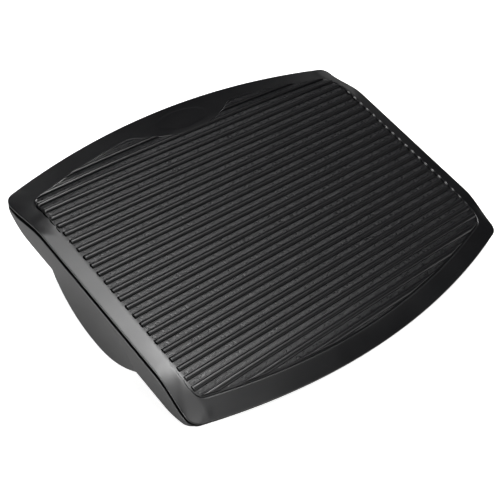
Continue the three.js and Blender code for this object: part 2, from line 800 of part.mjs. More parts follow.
for (const [side, sx] of [
  ["left", -1],
  ["right", 1],
]) {
  hinge.add(named(side + "_hinge_bracket", mirrored(hingeBracket(), sx, 1), steel));
  hinge.add(named(side + "_bush", mirrored(bush(), sx, 1), nylon));
  const friction = washer(axleRadius + gap, washerRadius, washerStart, washerStart + washerThickness);
  axleLine.add(named(side + "_friction_washer", mirrored(toGeometry(friction), sx, 1), nylon));
  const wave = washer(axleRadius + gap, waveWasherRadius, waveStart, waveStart + waveWasherThickness);
  axleLine.add(named(side + "_wave_washer", mirrored(toGeometry(wave), sx, 1), steel));
  axleLine.add(named(side + "_axle_cap", mirrored(axleCap(), sx, 1), plastic));
  stand.add(named(side + "_upright", mirrored(upright(), sx, 1), plastic));
}

for (const { name, sx, sy } of corners) {
  const pad = named("foot_" + name, foot(), rubber);
  pad.position.set(sx * (baseHalfWidth - footInset), sy * (baseHalfDepth - footInset), 0);
  stand.add(pad);
  const stop = named("stop_pad_" + name, mirrored(stopPad(), 1, sy), rubber);
  stop.position.x = sx * stopSpread;
  stand.add(stop);
  const tip = railTop - railScrewDepth + screwTipGap;
  const seat = railTop + gap + uprightFlange + gap;
  const screw = named("upright_screw_" + name, screwUp(-seat, -tip), steel);
  screw.rotation.x = Math.PI;
  screw.position.set(sx * uprightScrewX, sy * uprightScrewReach, 0);
  stand.add(screw);
}

// The origin is on the floor under the middle of the footrest's box
const footrest = new THREE.Group();
footrest.add(platform, stand);
const box = new THREE.Box3().setFromObject(footrest, true);
footrest.position.y = -(box.min.y + box.max.y) / 2;

export default footrest;
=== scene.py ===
import math
import bmesh
import bpy
import numpy as np
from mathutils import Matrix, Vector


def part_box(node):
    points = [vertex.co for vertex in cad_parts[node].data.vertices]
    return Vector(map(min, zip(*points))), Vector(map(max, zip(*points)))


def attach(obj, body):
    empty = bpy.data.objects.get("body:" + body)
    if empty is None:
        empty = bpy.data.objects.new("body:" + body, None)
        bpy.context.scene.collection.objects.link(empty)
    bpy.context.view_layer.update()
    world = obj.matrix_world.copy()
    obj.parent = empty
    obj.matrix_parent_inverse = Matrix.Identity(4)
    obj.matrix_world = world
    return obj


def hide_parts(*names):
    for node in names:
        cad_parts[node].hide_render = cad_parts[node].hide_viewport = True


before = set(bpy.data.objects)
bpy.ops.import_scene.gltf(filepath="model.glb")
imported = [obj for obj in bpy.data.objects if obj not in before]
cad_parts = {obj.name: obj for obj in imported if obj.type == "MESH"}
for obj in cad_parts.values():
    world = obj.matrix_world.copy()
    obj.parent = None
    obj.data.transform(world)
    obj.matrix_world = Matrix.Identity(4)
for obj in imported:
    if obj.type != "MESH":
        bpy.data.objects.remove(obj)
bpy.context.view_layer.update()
mm = 0.001  # in metres
nearly = 0.01  # mm, within which two places count as one
print("frame loaded:", len(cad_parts), "nodes")

# the camera stands where the photograph was taken from
view = {
    "place": (-616.5, -607.7, 603.5),  # mm
    "azimuth": 44.05,  # degrees from +Y towards +X
    "elevation": -33.44,
    "lens": 70.0,  # mm on the sensor below
    "sensor": 36.0,
}


def makeCamera(v):
    data = bpy.data.cameras.new("camera")
    data.lens = v["lens"]
    data.sensor_width = v["sensor"]
    data.clip_end = 30.0
    camera = bpy.data.objects.new("camera", data)
    camera.location = [c * mm for c in v["place"]]
    camera.rotation_euler = (math.radians(90 + v["elevation"]), 0, -math.radians(v["azimuth"]))
    bpy.context.scene.collection.objects.link(camera)
    bpy.context.scene.camera = camera


makeCamera(view)
print("camera set")

# The platform is worked out flat, in millimetres, with the ribs' tops at height zero, the field's
# middle at the origin and +Y to the back. It is then tipped about the axle.
platform = {
    "tilt": math.radians(22.7),
    "pivotY": 2.75,  # axle behind the field's middle
    "pivotDrop": 42.0,  # axle below the ribs' tops
    "frontReach": 175.0,  # field's middle to the middle of the front edge
    "backReach": 180.3,
    "endBow": 33.0,  # how far the ends of the front and back edges fall behind their middles
    "cornerRadius": 13.0,
    "sideEdgeDrop": 3.0,  # the rim's edge below the ribs' tops, at the sides
    "cornerEdgeDrop": 14.0,
    "endEdgeDrop": 15.8,
    "edgeFallLength": 56.0,  # stretch of a side over which the edge falls to the corner
    "lipDepth": 0.6,
    "rimWall": 3.0,
}
field = {
    "sideRim": 17.6,
    "frontRim": 20.2,
    "backRim": 20.5,
    "frontBow": 29.0,
    "backBow": 31.0,
    "cornerRadius": 11.0,
    "notchDepth": 28.5,  # how far the oval place dips into the field
    "notchHalfWidth": 70.0,
    "notchBlend": 4.0,
    "notchFade": (60.0, 100.0),  # only the outline behind this is moved
    "ribPitch": 10.8,
    "ribShift": 2.16,  # of the ribs' middles behind whole pitches
    "firstRib": -14,  # ribs are counted from the field's middle
    "lastRib": 13,
    "scallop": 1.4,  # the pocket's side walls swell outwards at each channel
    "scallopPower": 0.4,  # less is flatter in the middle of the swell
    "gap": 0.3,
}
# the whole top falls away near its front and back edges, and the rim carries the fall on to its edge
topFall = {
    "backReach": 50.0,  # from the outer edge, along Y
    "backSteep": 36.0,  # nearer to the edge than this the back falls at a steady slope
    "backPower": 2.0,  # of the curve before it
    "backSlope": 0.26,
    "backSlopeAtSides": 0.22,
    "frontReach": 65.0,
    "frontSteep": 22.0,
    "frontPower": 2.61,
    "frontSlope": 0.31,
    "sideSlope": 0.12,  # of the rim outside the field, at the sides
    "sideBlend": 1.0,
}
axleLow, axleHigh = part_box("pivot_axle")
axleY = (axleLow.y + axleHigh.y) / 2
axleZ = (axleLow.z + axleHigh.z) / 2
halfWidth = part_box("deck")[1].x / mm
sideLength = platform["frontReach"] - platform["endBow"]
fieldHalf = halfWidth - field["sideRim"]
fieldFront = platform["frontReach"] - field["frontRim"]
fieldBack = platform["backReach"] - field["backRim"]


def onPlatform(points):
    # tips flat points about the axle: y' = y cos t - z sin t and z' = y sin t + z cos t, then to metres
    c, s = math.cos(platform["tilt"]), math.sin(platform["tilt"])
    y = points[:, 1] - platform["pivotY"]
    z = points[:, 2] + platform["pivotDrop"]
    return np.stack([points[:, 0] * mm, axleY + (y * c - z * s) * mm, axleZ + (y * s + z * c) * mm], 1)


def flatBox(node):
    # a CAD node's lowest and highest corners in the platform's flat millimetres
    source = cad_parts[node].data
    co = np.empty(len(source.vertices) * 3)
    source.vertices.foreach_get("co", co)
    co = co.reshape(-1, 3)
    c, s = math.cos(platform["tilt"]), math.sin(platform["tilt"])
    y, z = co[:, 1] - axleY, co[:, 2] - axleZ
    flat = np.stack([co[:, 0], y * c + z * s, z * c - y * s], 1) / mm
    flat += [0, platform["pivotY"], -platform["pivotDrop"]]
    return flat.min(0), flat.max(0)


def smoothStep(value, low, high):
    t = np.clip((value - low) / (high - low), 0, 1)
    return t * t * (3 - 2 * t)


def fallAt(x, y, v=topFall):
    # a power curve of the distance to the outer edge, which goes on as a straight slope near the
    # edge: steep part's start times (left over / whole) to the power that gives the slope there.
    # Beyond the field's sides the rim slopes away
    bow = platform["endBow"] * (x / halfWidth) ** 2
    beyond = np.abs(x) - fieldHalf
    total = v["sideSlope"] * (beyond + np.hypot(beyond, v["sideBlend"])) / 2
    toBack = platform["backReach"] - bow - y
    toFront = platform["frontReach"] - bow + y
    side = (x / halfWidth) ** 2
    backSlope = v["backSlope"] + (v["backSlopeAtSides"] - v["backSlope"]) * side
    for away, reach, steep, slope, power in (
            (toBack, v["backReach"], v["backSteep"], backSlope, v["backPower"]),
            (toFront, v["frontReach"], v["frontSteep"], v["frontSlope"], v["frontPower"])):
        whole = reach - steep
        start = slope * whole / power
        curve = start * (np.clip(reach - away, 0, whole) / whole) ** power
        total = total + curve + slope * np.clip(steep - away, 0, None)
    return total


# colours and materials
def hexColour(text):
    # sRGB hex to linear: c/12.92 below 0.04045, else ((c + 0.055)/1.055) to the power 2.4
    c = np.array([int(text[i:i + 2], 16) / 255 for i in (1, 3, 5)])
    linear = np.where(c <= 0.04045, c / 12.92, ((c + 0.055) / 1.055) ** 2.4)
    return (*linear, 1.0)


def perMetre(size):
    # scale of a texture whose features are this many millimetres apart
    return 1 / (size * mm)


def addNode(tree, kind, settings=None, links=None):
    node = tree.nodes.new(kind)
    for key, value in (settings or {}).items():
        if isinstance(key, int) or key in node.inputs:
            node.inputs[key].default_value = value
        else:
            setattr(node, key, value)
    for key, source in (links or {}).items():
        tree.links.new(source, node.inputs[key])
    return node


def newMaterial(name):
    # an empty material, its node tree and the place on the object that its patterns read
    material = bpy.data.materials.new(name)
    material.use_nodes = True
    tree = material.node_tree
    tree.nodes.clear()
    return material, tree, addNode(tree, "ShaderNodeTexCoord").outputs["Object"]


def finishMaterial(tree, settings, links):
    shader = addNode(tree, "ShaderNodeBsdfPrincipled", settings, links)
    addNode(tree, "ShaderNodeOutputMaterial", links={"Surface": shader.outputs[0]})


def mixedColour(tree, v, share):
    # from a finish's colour to its patch colour, by a share from 0 to 1
    colours = {"data_type": "RGBA", 6: hexColour(v["colour"]), 7: hexColour(v["patch"])}
    return addNode(tree, "ShaderNodeMix", colours, {0: share}).outputs[2]


def softPatches(tree, v, place, detail=3.0, roughness=0.5):
    # noise whose patches are a real size
    settings = {"Scale": perMetre(v["patchSize"]), "Detail": detail, "Roughness": roughness}
    return addNode(tree, "ShaderNodeTexNoise", settings, {"Vector": place}).outputs["Fac"]


def raisedNormal(tree, height, millimetres):
    # a height from 0 to 1 stands this many millimetres proud
    settings = {"Strength": 1.0, "Distance": millimetres * mm}
    return addNode(tree, "ShaderNodeBump", settings, {"Height": height}).outputs[0]


def fineGrain(tree, v, place):
    settings = {"Scale": perMetre(v["grain"]), "Detail": 2.0}
    noise = addNode(tree, "ShaderNodeTexNoise", settings, {"Vector": place})
    return raisedNormal(tree, noise.outputs["Fac"], v["grainHeight"])


def spread(tree, value, known, wanted):
    # carries a stretch of a pattern's values to the wanted stretch
    (low, high), (start, end) = known, wanted
    settings = {"From Min": low, "From Max": high, "To Min": start, "To Max": end}
    return addNode(tree, "ShaderNodeMapRange", settings, {"Value": value}).outputs[0]


# Injection-moulded high-impact polystyrene from a fine spark-eroded mould: near black, satin,
# with soft broad highlights and a faint unevenness from mould flow
satinPolystyrene = {
    "colour": "#08080a",
    "patch": "#0c0c0e",
    "patchSize": 60.0,  # mm between the faint patches of mould flow
    "flowRange": (0.3, 0.7),  # of the flow's noise, over which the roughness changes
    "roughness": (0.31, 0.37),
    "ior": 1.55,
    "grain": 1.1,  # the real grain is 0.1 mm and wouldn't show, so it is drawn this coarse
    "grainHeight": 0.006,
}


def makeSatinPolystyrene(v):
    material, tree, place = newMaterial("satinPolystyrene")
    flow = softPatches(tree, v, place)
    rough = spread(tree, flow, v["flowRange"], v["roughness"])
    finishMaterial(tree, {"IOR": v["ior"]}, {"Base Color": mixedColour(tree, v, flow), "Roughness": rough,
                                             "Normal": fineGrain(tree, v, place)})
    return material


# The same plastic from a mould etched with a coarse leather-like grain in the channel floors, for grip: the
# floors break the light up into fine grey speckle, while the ribs stay smooth.
# The floors are also painted a lighter colour than the ribs, a painted sheen for the light that the grain
# scatters
grainedPolystyrene = {
    "colour": "#08080a",  # of the ribs
    "patch": "#0f0f11",  # of the floors: lighter than the ribs' colour though both are one plastic, a painted sheen for the light that the etched grain scatters
    "floorRoughness": (0.26, 0.52),  # in the pits and between them
    "ribRoughness": 0.33,
    "ior": 1.55,
    "patchSize": 2.3,  # mm between the etched pits, twice the real size so that they show
    "pitRange": (0.38, 0.62),  # of the pits' noise, over which the roughness changes
    "grainFade": 0.25,  # mm over which the grain starts at a band's edge
    "grainHeight": 0.32,
}


def makeGrainedPolystyrene(v):
    material, tree, place = newMaterial("grainedPolystyrene")
    depth = addNode(tree, "ShaderNodeAttribute", {"attribute_name": "grainDepth"})
    onFloor = spread(tree, depth.outputs["Fac"], (0.0, v["grainFade"]), (0.0, 1.0))
    pits = softPatches(tree, v, place, roughness=0.6)
    height = addNode(tree, "ShaderNodeMath", {"operation": "MULTIPLY"}, {0: pits, 1: onFloor})
    pitted = spread(tree, pits, v["pitRange"], v["floorRoughness"])
    rough = addNode(tree, "ShaderNodeMapRange", {"To Min": v["ribRoughness"]},
                    {"Value": onFloor, "To Max": pitted})
    # the floors' colour is painted lighter than the ribs': painted sheen for the light that the grain
    # scatters
    finishMaterial(tree, {"IOR": v["ior"]},
                   {"Base Color": mixedColour(tree, v, onFloor), "Roughness": rough.outputs[0],
                    "Normal": raisedNormal(tree, height.outputs[0], v["grainHeight"])})
    return material


# Compression-moulded black rubber: dull, slightly dusty, with a soft fine grain
blackRubber = {
    "colour": "#131313",
    "patch": "#242321",  # dust
    "patchSize": 9.0,
    "dustRange": (0.45, 0.75),  # of the dust's noise, from clean to dusty
    "grain": 0.9,
    "grainHeight": 0.02,
    "roughness": 0.78,
    "ior": 1.52,
}


def makeBlackRubber(v):
    material, tree, place = newMaterial("blackRubber")
    dust = softPatches(tree, v, place, detail=6.0, roughness=0.65)
    colour = mixedColour(tree, v, spread(tree, dust, v["dustRange"], (0.0, 1.0)))
    finishMaterial(tree, {"IOR": v["ior"], "Roughness": v["roughness"]},
                   {"Base Color": colour, "Normal": fineGrain(tree, v, place)})
    return material


# Natural moulded nylon: milky off-white, waxy, lets a little light in
naturalNylon = {
    "colour": "#cfcbbd",
    "patch": "#bdb8a8",
    "patchSize": 5.0,
    "roughness": 0.42,
    "ior": 1.53,
    "scatter": 0.15,
    "scatterDepth": (1.0, 0.9, 0.7),  # mm that red, green and blue light go in
}


def makeNaturalNylon(v):
    material, tree, place = newMaterial("naturalNylon")
    finishMaterial(tree, {"IOR": v["ior"], "Roughness": v["roughness"], "Subsurface Weight": v["scatter"],
                          "Subsurface Radius": v["scatterDepth"], "Subsurface Scale": mm},
                   {"Base Color": mixedColour(tree, v, softPatches(tree, v, place))})
    return material


# Pressed or turned steel with a bright zinc coat: cool grey, faintly blotched where the crystals lie,
# with fine marks along the part from the press or the lathe
zincPlatedSteel = {
    "colour": "#a9adb2",
    "patch": "#8e949b",
    "patchSize": 6.0,
    "markSize": 0.8,  # mm across the marks, coarser than real ones so that they show
    "markLength": 25.0,  # how much longer than wide they are
    "markHeight": 0.01,
    "markRange": (0.3, 0.7),  # of the marks' noise, over which the roughness changes
    "roughness": (0.24, 0.40),
}


def makeZincPlatedSteel(v):
    material, tree, place = newMaterial("zincPlatedSteel")
    blotch = addNode(tree, "ShaderNodeTexVoronoi", {"Scale": perMetre(v["patchSize"])}, {"Vector": place})
    longMarks = {"Scale": (1.0, 1 / v["markLength"], 1.0)}
    along = addNode(tree, "ShaderNodeMapping", longMarks, {"Vector": place})
    marks = addNode(tree, "ShaderNodeTexNoise", {"Scale": perMetre(v["markSize"]), "Detail": 4.0},
                    {"Vector": along.outputs[0]}).outputs["Fac"]
    rough = spread(tree, marks, v["markRange"], v["roughness"])
    finishMaterial(tree, {"Metallic": 1.0},
                   {"Base Color": mixedColour(tree, v, blotch.outputs["Distance"]), "Roughness": rough,
                    "Normal": raisedNormal(tree, marks, v["markHeight"])})
    return material


plasticFinish = makeSatinPolystyrene(satinPolystyrene)
grainedFinish = makeGrainedPolystyrene(grainedPolystyrene)
rubberFinish = makeBlackRubber(blackRubber)
nylonFinish = makeNaturalNylon(naturalNylon)
steelFinish = makeZincPlatedSteel(zincPlatedSteel)
print("materials made")


# meshes from arrays
def gridQuads(rows, columns, wrapColumns=False, wrapRows=False):
    # vertex numbers of the four corners of each cell, with the rows' direction first
    r = np.arange(rows if wrapRows else rows - 1)
    c = np.arange(columns if wrapColumns else columns - 1)
    r, c = [a.ravel() for a in np.meshgrid(r, c, indexing="ij")]
    nextRow, nextColumn = (r + 1) % rows, (c + 1) % columns
    return np.stack([r * columns + c, nextRow * columns + c, nextRow * columns + nextColumn,
                     r * columns + nextColumn], 1)


def meshFrom(name, points, quads, caps=()):
    mesh = bpy.data.meshes.new(name)
    loops = np.concatenate([quads.ravel(), *caps])
    sizes = np.array([4] * len(quads) + [len(cap) for cap in caps])
    starts = np.cumsum(sizes) - sizes
    mesh.vertices.add(len(points))
    mesh.vertices.foreach_set("co", np.asarray(points, np.float32).ravel())
    mesh.loops.add(len(loops))
    mesh.loops.foreach_set("vertex_index", loops.astype(np.int32))
    mesh.polygons.add(len(sizes))
    mesh.polygons.foreach_set("loop_start", starts.astype(np.int32))
    mesh.update(calc_edges=True)
    mesh.validate()
    return mesh


def addPiece(mesh, material, body, nodes, sharpAngle=35.0):
    mesh.polygons.foreach_set("use_smooth", np.ones(len(mesh.polygons), bool))
    mesh.set_sharp_from_angle(angle=math.radians(sharpAngle))
    mesh.materials.clear()
    mesh.materials.append(material)
    piece = bpy.data.objects.new(mesh.name, mesh)
    bpy.context.scene.collection.objects.link(piece)
    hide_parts(*nodes)
    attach(piece, body)
    return piece


def carry(mesh, place):
    # moves all points of a mesh
    points = np.empty(len(mesh.vertices) * 3)
    mesh.vertices.foreach_get("co", points)
    mesh.vertices.foreach_set("co", place(points.reshape(-1, 3)).astype(np.float32).ravel())
    mesh.update()


def closedRings(rings):
    # rings of equal length, counterclockwise from above, with one face over the first and the last
    count = len(rings[0])
    points = np.concatenate(rings)
    last = np.arange(count) + (len(rings) - 1) * count
    return points, gridQuads(len(rings), count, wrapColumns=True), [np.arange(count), last[::-1]]


# outlines
def edgeAt(x, half, reach, bow):
    # a bowed edge is a parabola: its reach, less its bow times (x/half) squared
    return reach - bow * (x / half) ** 2


def cornerArc(half, reach, bow, radius, steps):
    # an arc from straight up the side to square with the parabola where it touches it
    slope = math.atan(2 * bow / half)
    touch = half - radius + radius * math.sin(slope)
    centreY = edgeAt(touch, half, reach, bow) - radius * math.cos(slope)
    angle = np.linspace(0, math.pi / 2 - slope, steps)
    return np.stack([half - radius + radius * np.cos(angle), centreY + radius * np.sin(angle)], 1)


def outline(half, front, back, frontBow, backBow, radius, steps):
    # straight sides, bowed ends and round corners, counterclockwise from the front right
    backArc = cornerArc(half, back, backBow, radius, steps["corner"])
    frontArc = cornerArc(half, front, frontBow, radius, steps["corner"])
    sideY = np.linspace(-frontArc[0, 1], backArc[0, 1], steps["side"] + 2)[1:-1]
    right = np.stack([np.full_like(sideY, half), sideY], 1)
    backX = np.linspace(backArc[-1, 0], -backArc[-1, 0], steps["end"] + 2)[1:-1]
    backEdge = np.stack([backX, edgeAt(backX, half, back, backBow)], 1)
    frontX = np.linspace(-frontArc[-1, 0], frontArc[-1, 0], steps["end"] + 2)[1:-1]
    frontEdge = np.stack([frontX, -edgeAt(frontX, half, front, frontBow)], 1)
    return np.concatenate([right, backArc, backEdge, (backArc * [-1, 1])[::-1], (right * [-1, 1])[::-1],
                           frontArc * [-1, -1], frontEdge, (frontArc * [1, -1])[::-1]])


def platformLoop(inset, steps):
    half = halfWidth - inset
    bow = platform["endBow"] * (half / halfWidth) ** 2
    radius = platform["cornerRadius"] * (1 - inset / (platform["cornerRadius"] + platform["rimWall"]))
    front, back = platform["frontReach"] - inset, platform["backReach"] - inset
    return outline(half, front, back, bow, bow, radius, steps)


def notchRise(x):
    # half of the sum of the parabola and its rounded size, so that it fades to nothing outside
    rise = field["notchDepth"] * (1 - (x / field["notchHalfWidth"]) ** 2)
    return (rise + np.hypot(rise, field["notchBlend"])) / 2


def scallopAt(y):
    # swells between ribs and comes to a point at each rib
    wave = np.abs(np.sin(math.pi * (y - field["ribShift"]) / field["ribPitch"]))
    return field["scallop"] * wave ** field["scallopPower"]


def fieldLoop(margin, steps, dipped=True, scalloped=True):
    loop = outline(fieldHalf + margin, fieldFront + margin, fieldBack + margin, field["frontBow"],
                   field["backBow"], field["cornerRadius"] + margin, steps)
    x, y = loop[:, 0], loop[:, 1]
    if dipped:
        y = y - notchRise(x) * smoothStep(y, *field["notchFade"])
    if scalloped:
        onSide = np.abs(x) > fieldHalf + margin - nearly
        x = x + np.sign(x) * scallopAt(y) * onSide
    return np.stack([x, y], 1)


def outwardNormals(loop):
    along = np.roll(loop, -1, 0) - np.roll(loop, 1, 0)
    normal = np.stack([along[:, 1], -along[:, 0]], 1)
    return normal / np.linalg.norm(normal, axis=1, keepdims=True)


def edgeDropAt(loop):
    # the rim's edge is high along a side and falls to the corner, then follows a shallow arch
    away = smoothStep(np.abs(loop[:, 1]), sideLength - platform["edgeFallLength"], sideLength)
    across = 1 - (loop[:, 0] / halfWidth) ** 2
    corner = platform["cornerEdgeDrop"] - platform["sideEdgeDrop"]
    arch = platform["endEdgeDrop"] - platform["cornerEdgeDrop"]
    return platform["sideEdgeDrop"] + away * (corner + arch * across)


def raised(loop, z):
    return np.column_stack([loop, np.broadcast_to(z, len(loop))])


def fallen(loop, z):
    # a ring at a height below the falling top
    return raised(loop, z - fallAt(loop[:, 0], loop[:, 1]))


def shrunk(loop, z, count):
    # rings that draw in to the middle and follow the falling top, to close a hollow's floor
    return [fallen(loop * share, z) for share in np.linspace(1, 0, count + 1)[1:-1]]


# the deck: pocket wall, rim that rolls down to a round edge, and a lip under it
deck = {
    "steps": {"side": 300, "corner": 12, "end": 220},
    "land": 3.5,  # strip round the pocket in which its edge wanders
    "frontRound": 3.2,  # radius along the pocket's front edge
    "frontTurn": 45.0,  # degrees that it turns through
    "sideRound": 0.15,
    "backRound": 0.5,
    "wallHeight": 2.5,  # at the channels the pocket's side wall leans outwards instead
    "wallLeast": 0.2,
    "wallLean": 0.95,
    "wallSoftness": 1.15,  # one is a straight wall, more is softer at its top
    "wallRings": 6,
    "wallFoot": 1.0,  # the wall is upright from this far below its round,
    "wallFootRoom": 0.3,  # and this much more
    "backStep": 3.5,  # the rim behind the field lies this much below the ribs' tops
    "backStepFade": (88.0, 134.0),  # from where to where it grows, behind the field's middle
    "frontStep": 1.5,
    "frontStepFade": (55.0, 136.0),
    "frontFade": (112.0, 128.0),  # here the sides' round turns into the front's
    "backFade": (116.0, 128.0),
    "edgeRound": 0.9,  # radius along the rim's outer edge
    "rollPower": (1.0, 1.8),  # at the sides and back, and at the front
    "rollRings": 14,
    "edgeRings": 8,
    "betaRounds": 20,
    "shelfRings": 18,
    "floorRings": 9,
    "pocketDepth": 5.5,
    "pocketFloor": 2.6,
    "lipRound": 0.3,
    "lipInside": 0.5,
    "underRings": 4,
    "shell": 2.4,  # wall outside the pocket
    "shellTop": 3.5,
    "ovalHalfLength": 34.5,
    "ovalHalfDepth": 15.5,
    "ovalMiddle": 155.0,  # behind the field's middle
    "ovalSink": 0.4,
    "ovalEdge": 0.09,  # share of the oval over which its wall falls
}


def ovalDip(x, y):
    # a flat-bottomed oval: full depth inside, with a smooth wall where the ellipse's radius nears one
    radius = np.hypot(x / deck["ovalHalfLength"], (y - deck["ovalMiddle"]) / deck["ovalHalfDepth"])
    return deck["ovalSink"] * (1 - smoothStep(radius, 1 - deck["ovalEdge"], 1))


def pocketRings(v, pocket, step):
    # the pocket's floor and wall. Along the wall a share from 0 to 1 gives a quarter round up to the
    # top, a straight line with a soft top where the wall leans, and in front the last part of a round
    y = pocket[:, 1]
    outward = outwardNormals(pocket)
    atFront = smoothStep(-y, *v["frontFade"])
    atBack = smoothStep(y, *v["backFade"])
    radius = v["sideRound"] + (v["backRound"] - v["sideRound"]) * atBack
    leaning = scallopAt(y) / field["scallop"] * (1 - atFront) * (1 - atBack)
    rise = np.clip(v["wallHeight"] - step, v["wallLeast"], None) * leaning
    turn = math.radians(v["frontTurn"])
    foot = np.maximum(radius + v["wallFoot"], rise) + v["wallFootRoom"]
    rings = shrunk(pocket, -v["pocketDepth"], v["floorRings"])[::-1]
    rings += [fallen(pocket, -v["pocketDepth"]), fallen(pocket, -foot - step)]
    for share in np.linspace(0, 1, v["wallRings"] + 1):
        angle = share * math.pi / 2
        left = turn * (1 - share)
        out = radius * (1 - math.cos(angle)) * (1 - leaning) + v["wallLean"] * leaning * share
        down = radius * (1 - math.sin(angle)) * (1 - leaning) + rise * (1 - share) ** v["wallSoftness"]
        out = out * (1 - atFront) + v["frontRound"] * (math.sin(turn) - math.sin(left)) * atFront
        down = down * (1 - atFront) + v["frontRound"] * (1 - math.cos(left)) * atFront
        wallTop = pocket + outward * out[:, None]
        rings.append(fallen(wallTop, -down - step))
    return rings, wallTop


def rollDown(v, land, edge, drop, step):
    # the roll adds a power curve to the fall and meets the edge's round at the angle beta, found by
    # repeating tan(beta) = power times roll over run, plus the fall's own slope there
    reach = np.linalg.norm(edge - land, axis=1)
    toEdge = (edge - land) / reach[:, None]
    powerAtRest, powerAtFront = v["rollPower"]
    atFront = smoothStep(-edge[:, 1], *v["frontFade"])
    power = powerAtRest + (powerAtFront - powerAtRest) * atFront
    beta = np.zeros(len(edge))
    for _ in range(v["betaRounds"]):
        run = reach - v["edgeRound"] * (1 - np.sin(beta))
        last = land + toEdge * run[:, None]
        before = last - toEdge
        fallThere = fallAt(last[:, 0], last[:, 1])
        roll = drop - v["edgeRound"] * np.cos(beta) - fallThere - step
        beta = np.arctan(power * roll / run + fallThere - fallAt(before[:, 0], before[:, 1]))
    return reach, toEdge, power, run, roll, beta


def makeDeck(v):
    steps = v["steps"]
    pocket = fieldLoop(0, steps)
    land = fieldLoop(v["land"], steps, dipped=False, scalloped=False)
    edge = platformLoop(0, steps)
    drop = edgeDropAt(edge)
    step = v["backStep"] * smoothStep(pocket[:, 1], *v["backStepFade"])
    step = step + v["frontStep"] * smoothStep(-pocket[:, 1], *v["frontStepFade"])
    rings, wallTop = pocketRings(v, pocket, step)
    topStart = len(rings) - 1
    for share in np.linspace(0, 1, v["shelfRings"] + 1)[1:]:  # shelf, with the oval sunk into it
        rings.append(fallen(wallTop + (land - wallTop) * share, -step))
    reach, toEdge, power, run, roll, beta = rollDown(v, land, edge, drop, step)
    for share in np.linspace(0, 1, v["rollRings"] + 1)[1:]:
        rings.append(fallen(land + toEdge * (run * share)[:, None], -roll * share ** power - step))
    topEnd = len(rings)
    for share in np.linspace(0, 1, v["edgeRings"] + 1)[1:]:
        angle = beta + (math.pi / 2 - beta) * share
        ring = land + toEdge * (reach - v["edgeRound"] * (1 - np.sin(angle)))[:, None]
        rings.append(raised(ring, -drop + v["edgeRound"] * np.cos(angle)))
    # back under the rim, at the wall's distance below the roll, to the pocket's shell
    thickness = platform["rimWall"]
    bottom = -drop - platform["lipDepth"]
    inner = platformLoop(thickness, steps)
    rings.append(raised(edge, bottom + v["lipRound"]))
    rings.append(raised(edge - toEdge * v["lipRound"], bottom))
    rings.append(raised(inner, bottom))
    rings.append(raised(inner, np.minimum(-drop + v["edgeRound"] - thickness, bottom + v["lipInside"])))
    for share in np.linspace(1, 0, v["underRings"] + 1)[1:]:
        ring = land + toEdge * ((run - thickness) * share)[:, None]
        rings.append(fallen(ring, -roll * share ** power - thickness - step))
    under = fieldLoop(v["shell"], steps, scalloped=False)
    underside = -v["pocketDepth"] - v["pocketFloor"]
    rings += [fallen(under, -v["shellTop"] - step), fallen(under, underside)]
    rings += shrunk(under, underside, v["floorRings"])
    for ring in rings[topStart:topEnd]:
        ring[:, 2] -= ovalDip(ring[:, 0], ring[:, 1])
    points, quads, caps = closedRings(rings)
    mesh = meshFrom("deck_moulding", onPlatform(points), quads, caps)
    addPiece(mesh, plasticFinish, "platform", ["deck"])


makeDeck(deck)
print("deck made")

# the tread panel: smooth ribs on a grained floor, one continuous skin
tread = {
    "steps": {"side": 300, "corner": 16, "end": 400},
    "ribWidth": 5.6,
    "ribHeight": 2.6,
    "ribPower": 2.2,  # 2 is an ellipse, more is squarer
    "ribSteps": 15,
    "frontStrip": 0.5,  # bare floor before and behind each rib, between it and the grain
    "backStrip": 0.7,
    "grainRound": 1.5,  # radius of the grained bands' ends
    "grainEnd": 1.8,  # bare floor between a band's end and the pocket's wall
    "edgeRound": 2.0,  # radius over the floor's edge, at the back
    "edgeTurn": 65.0,  # degrees that the round turns through
    "endGap": 0.8,  # floor between a rib's end and the pocket's wall, at the sides
    "endRound": 0.8,  # radius over a rib's end
    "endSteps": 5,
    "middleSteps": 14,
    "toRib": (0.0, 0.3, 0.55),  # columns between the wall and a rib's end
    "grainStep": 0.5,  # of the first row and column inside the grain
    "slantLimit": 9.0,  # distances grow where the outline runs across the rows, by this at most
    "leastMiddle": 2.0,  # left for the middle columns
    "rowsFromEnd": 0.05,  # no row lies nearer to the field's first and last one
    "rowsFromNotch": 0.02,
    "edgeFade": (110.0, 130.0),  # the edge's round starts this far behind the field's middle
    "joinWithin": 0.002,  # points
    "noShorterThan": 0.0005,  # edges
    "sharpAngle": 50.0,
    "plate": 2.6,
    "undersideRings": 7,
}


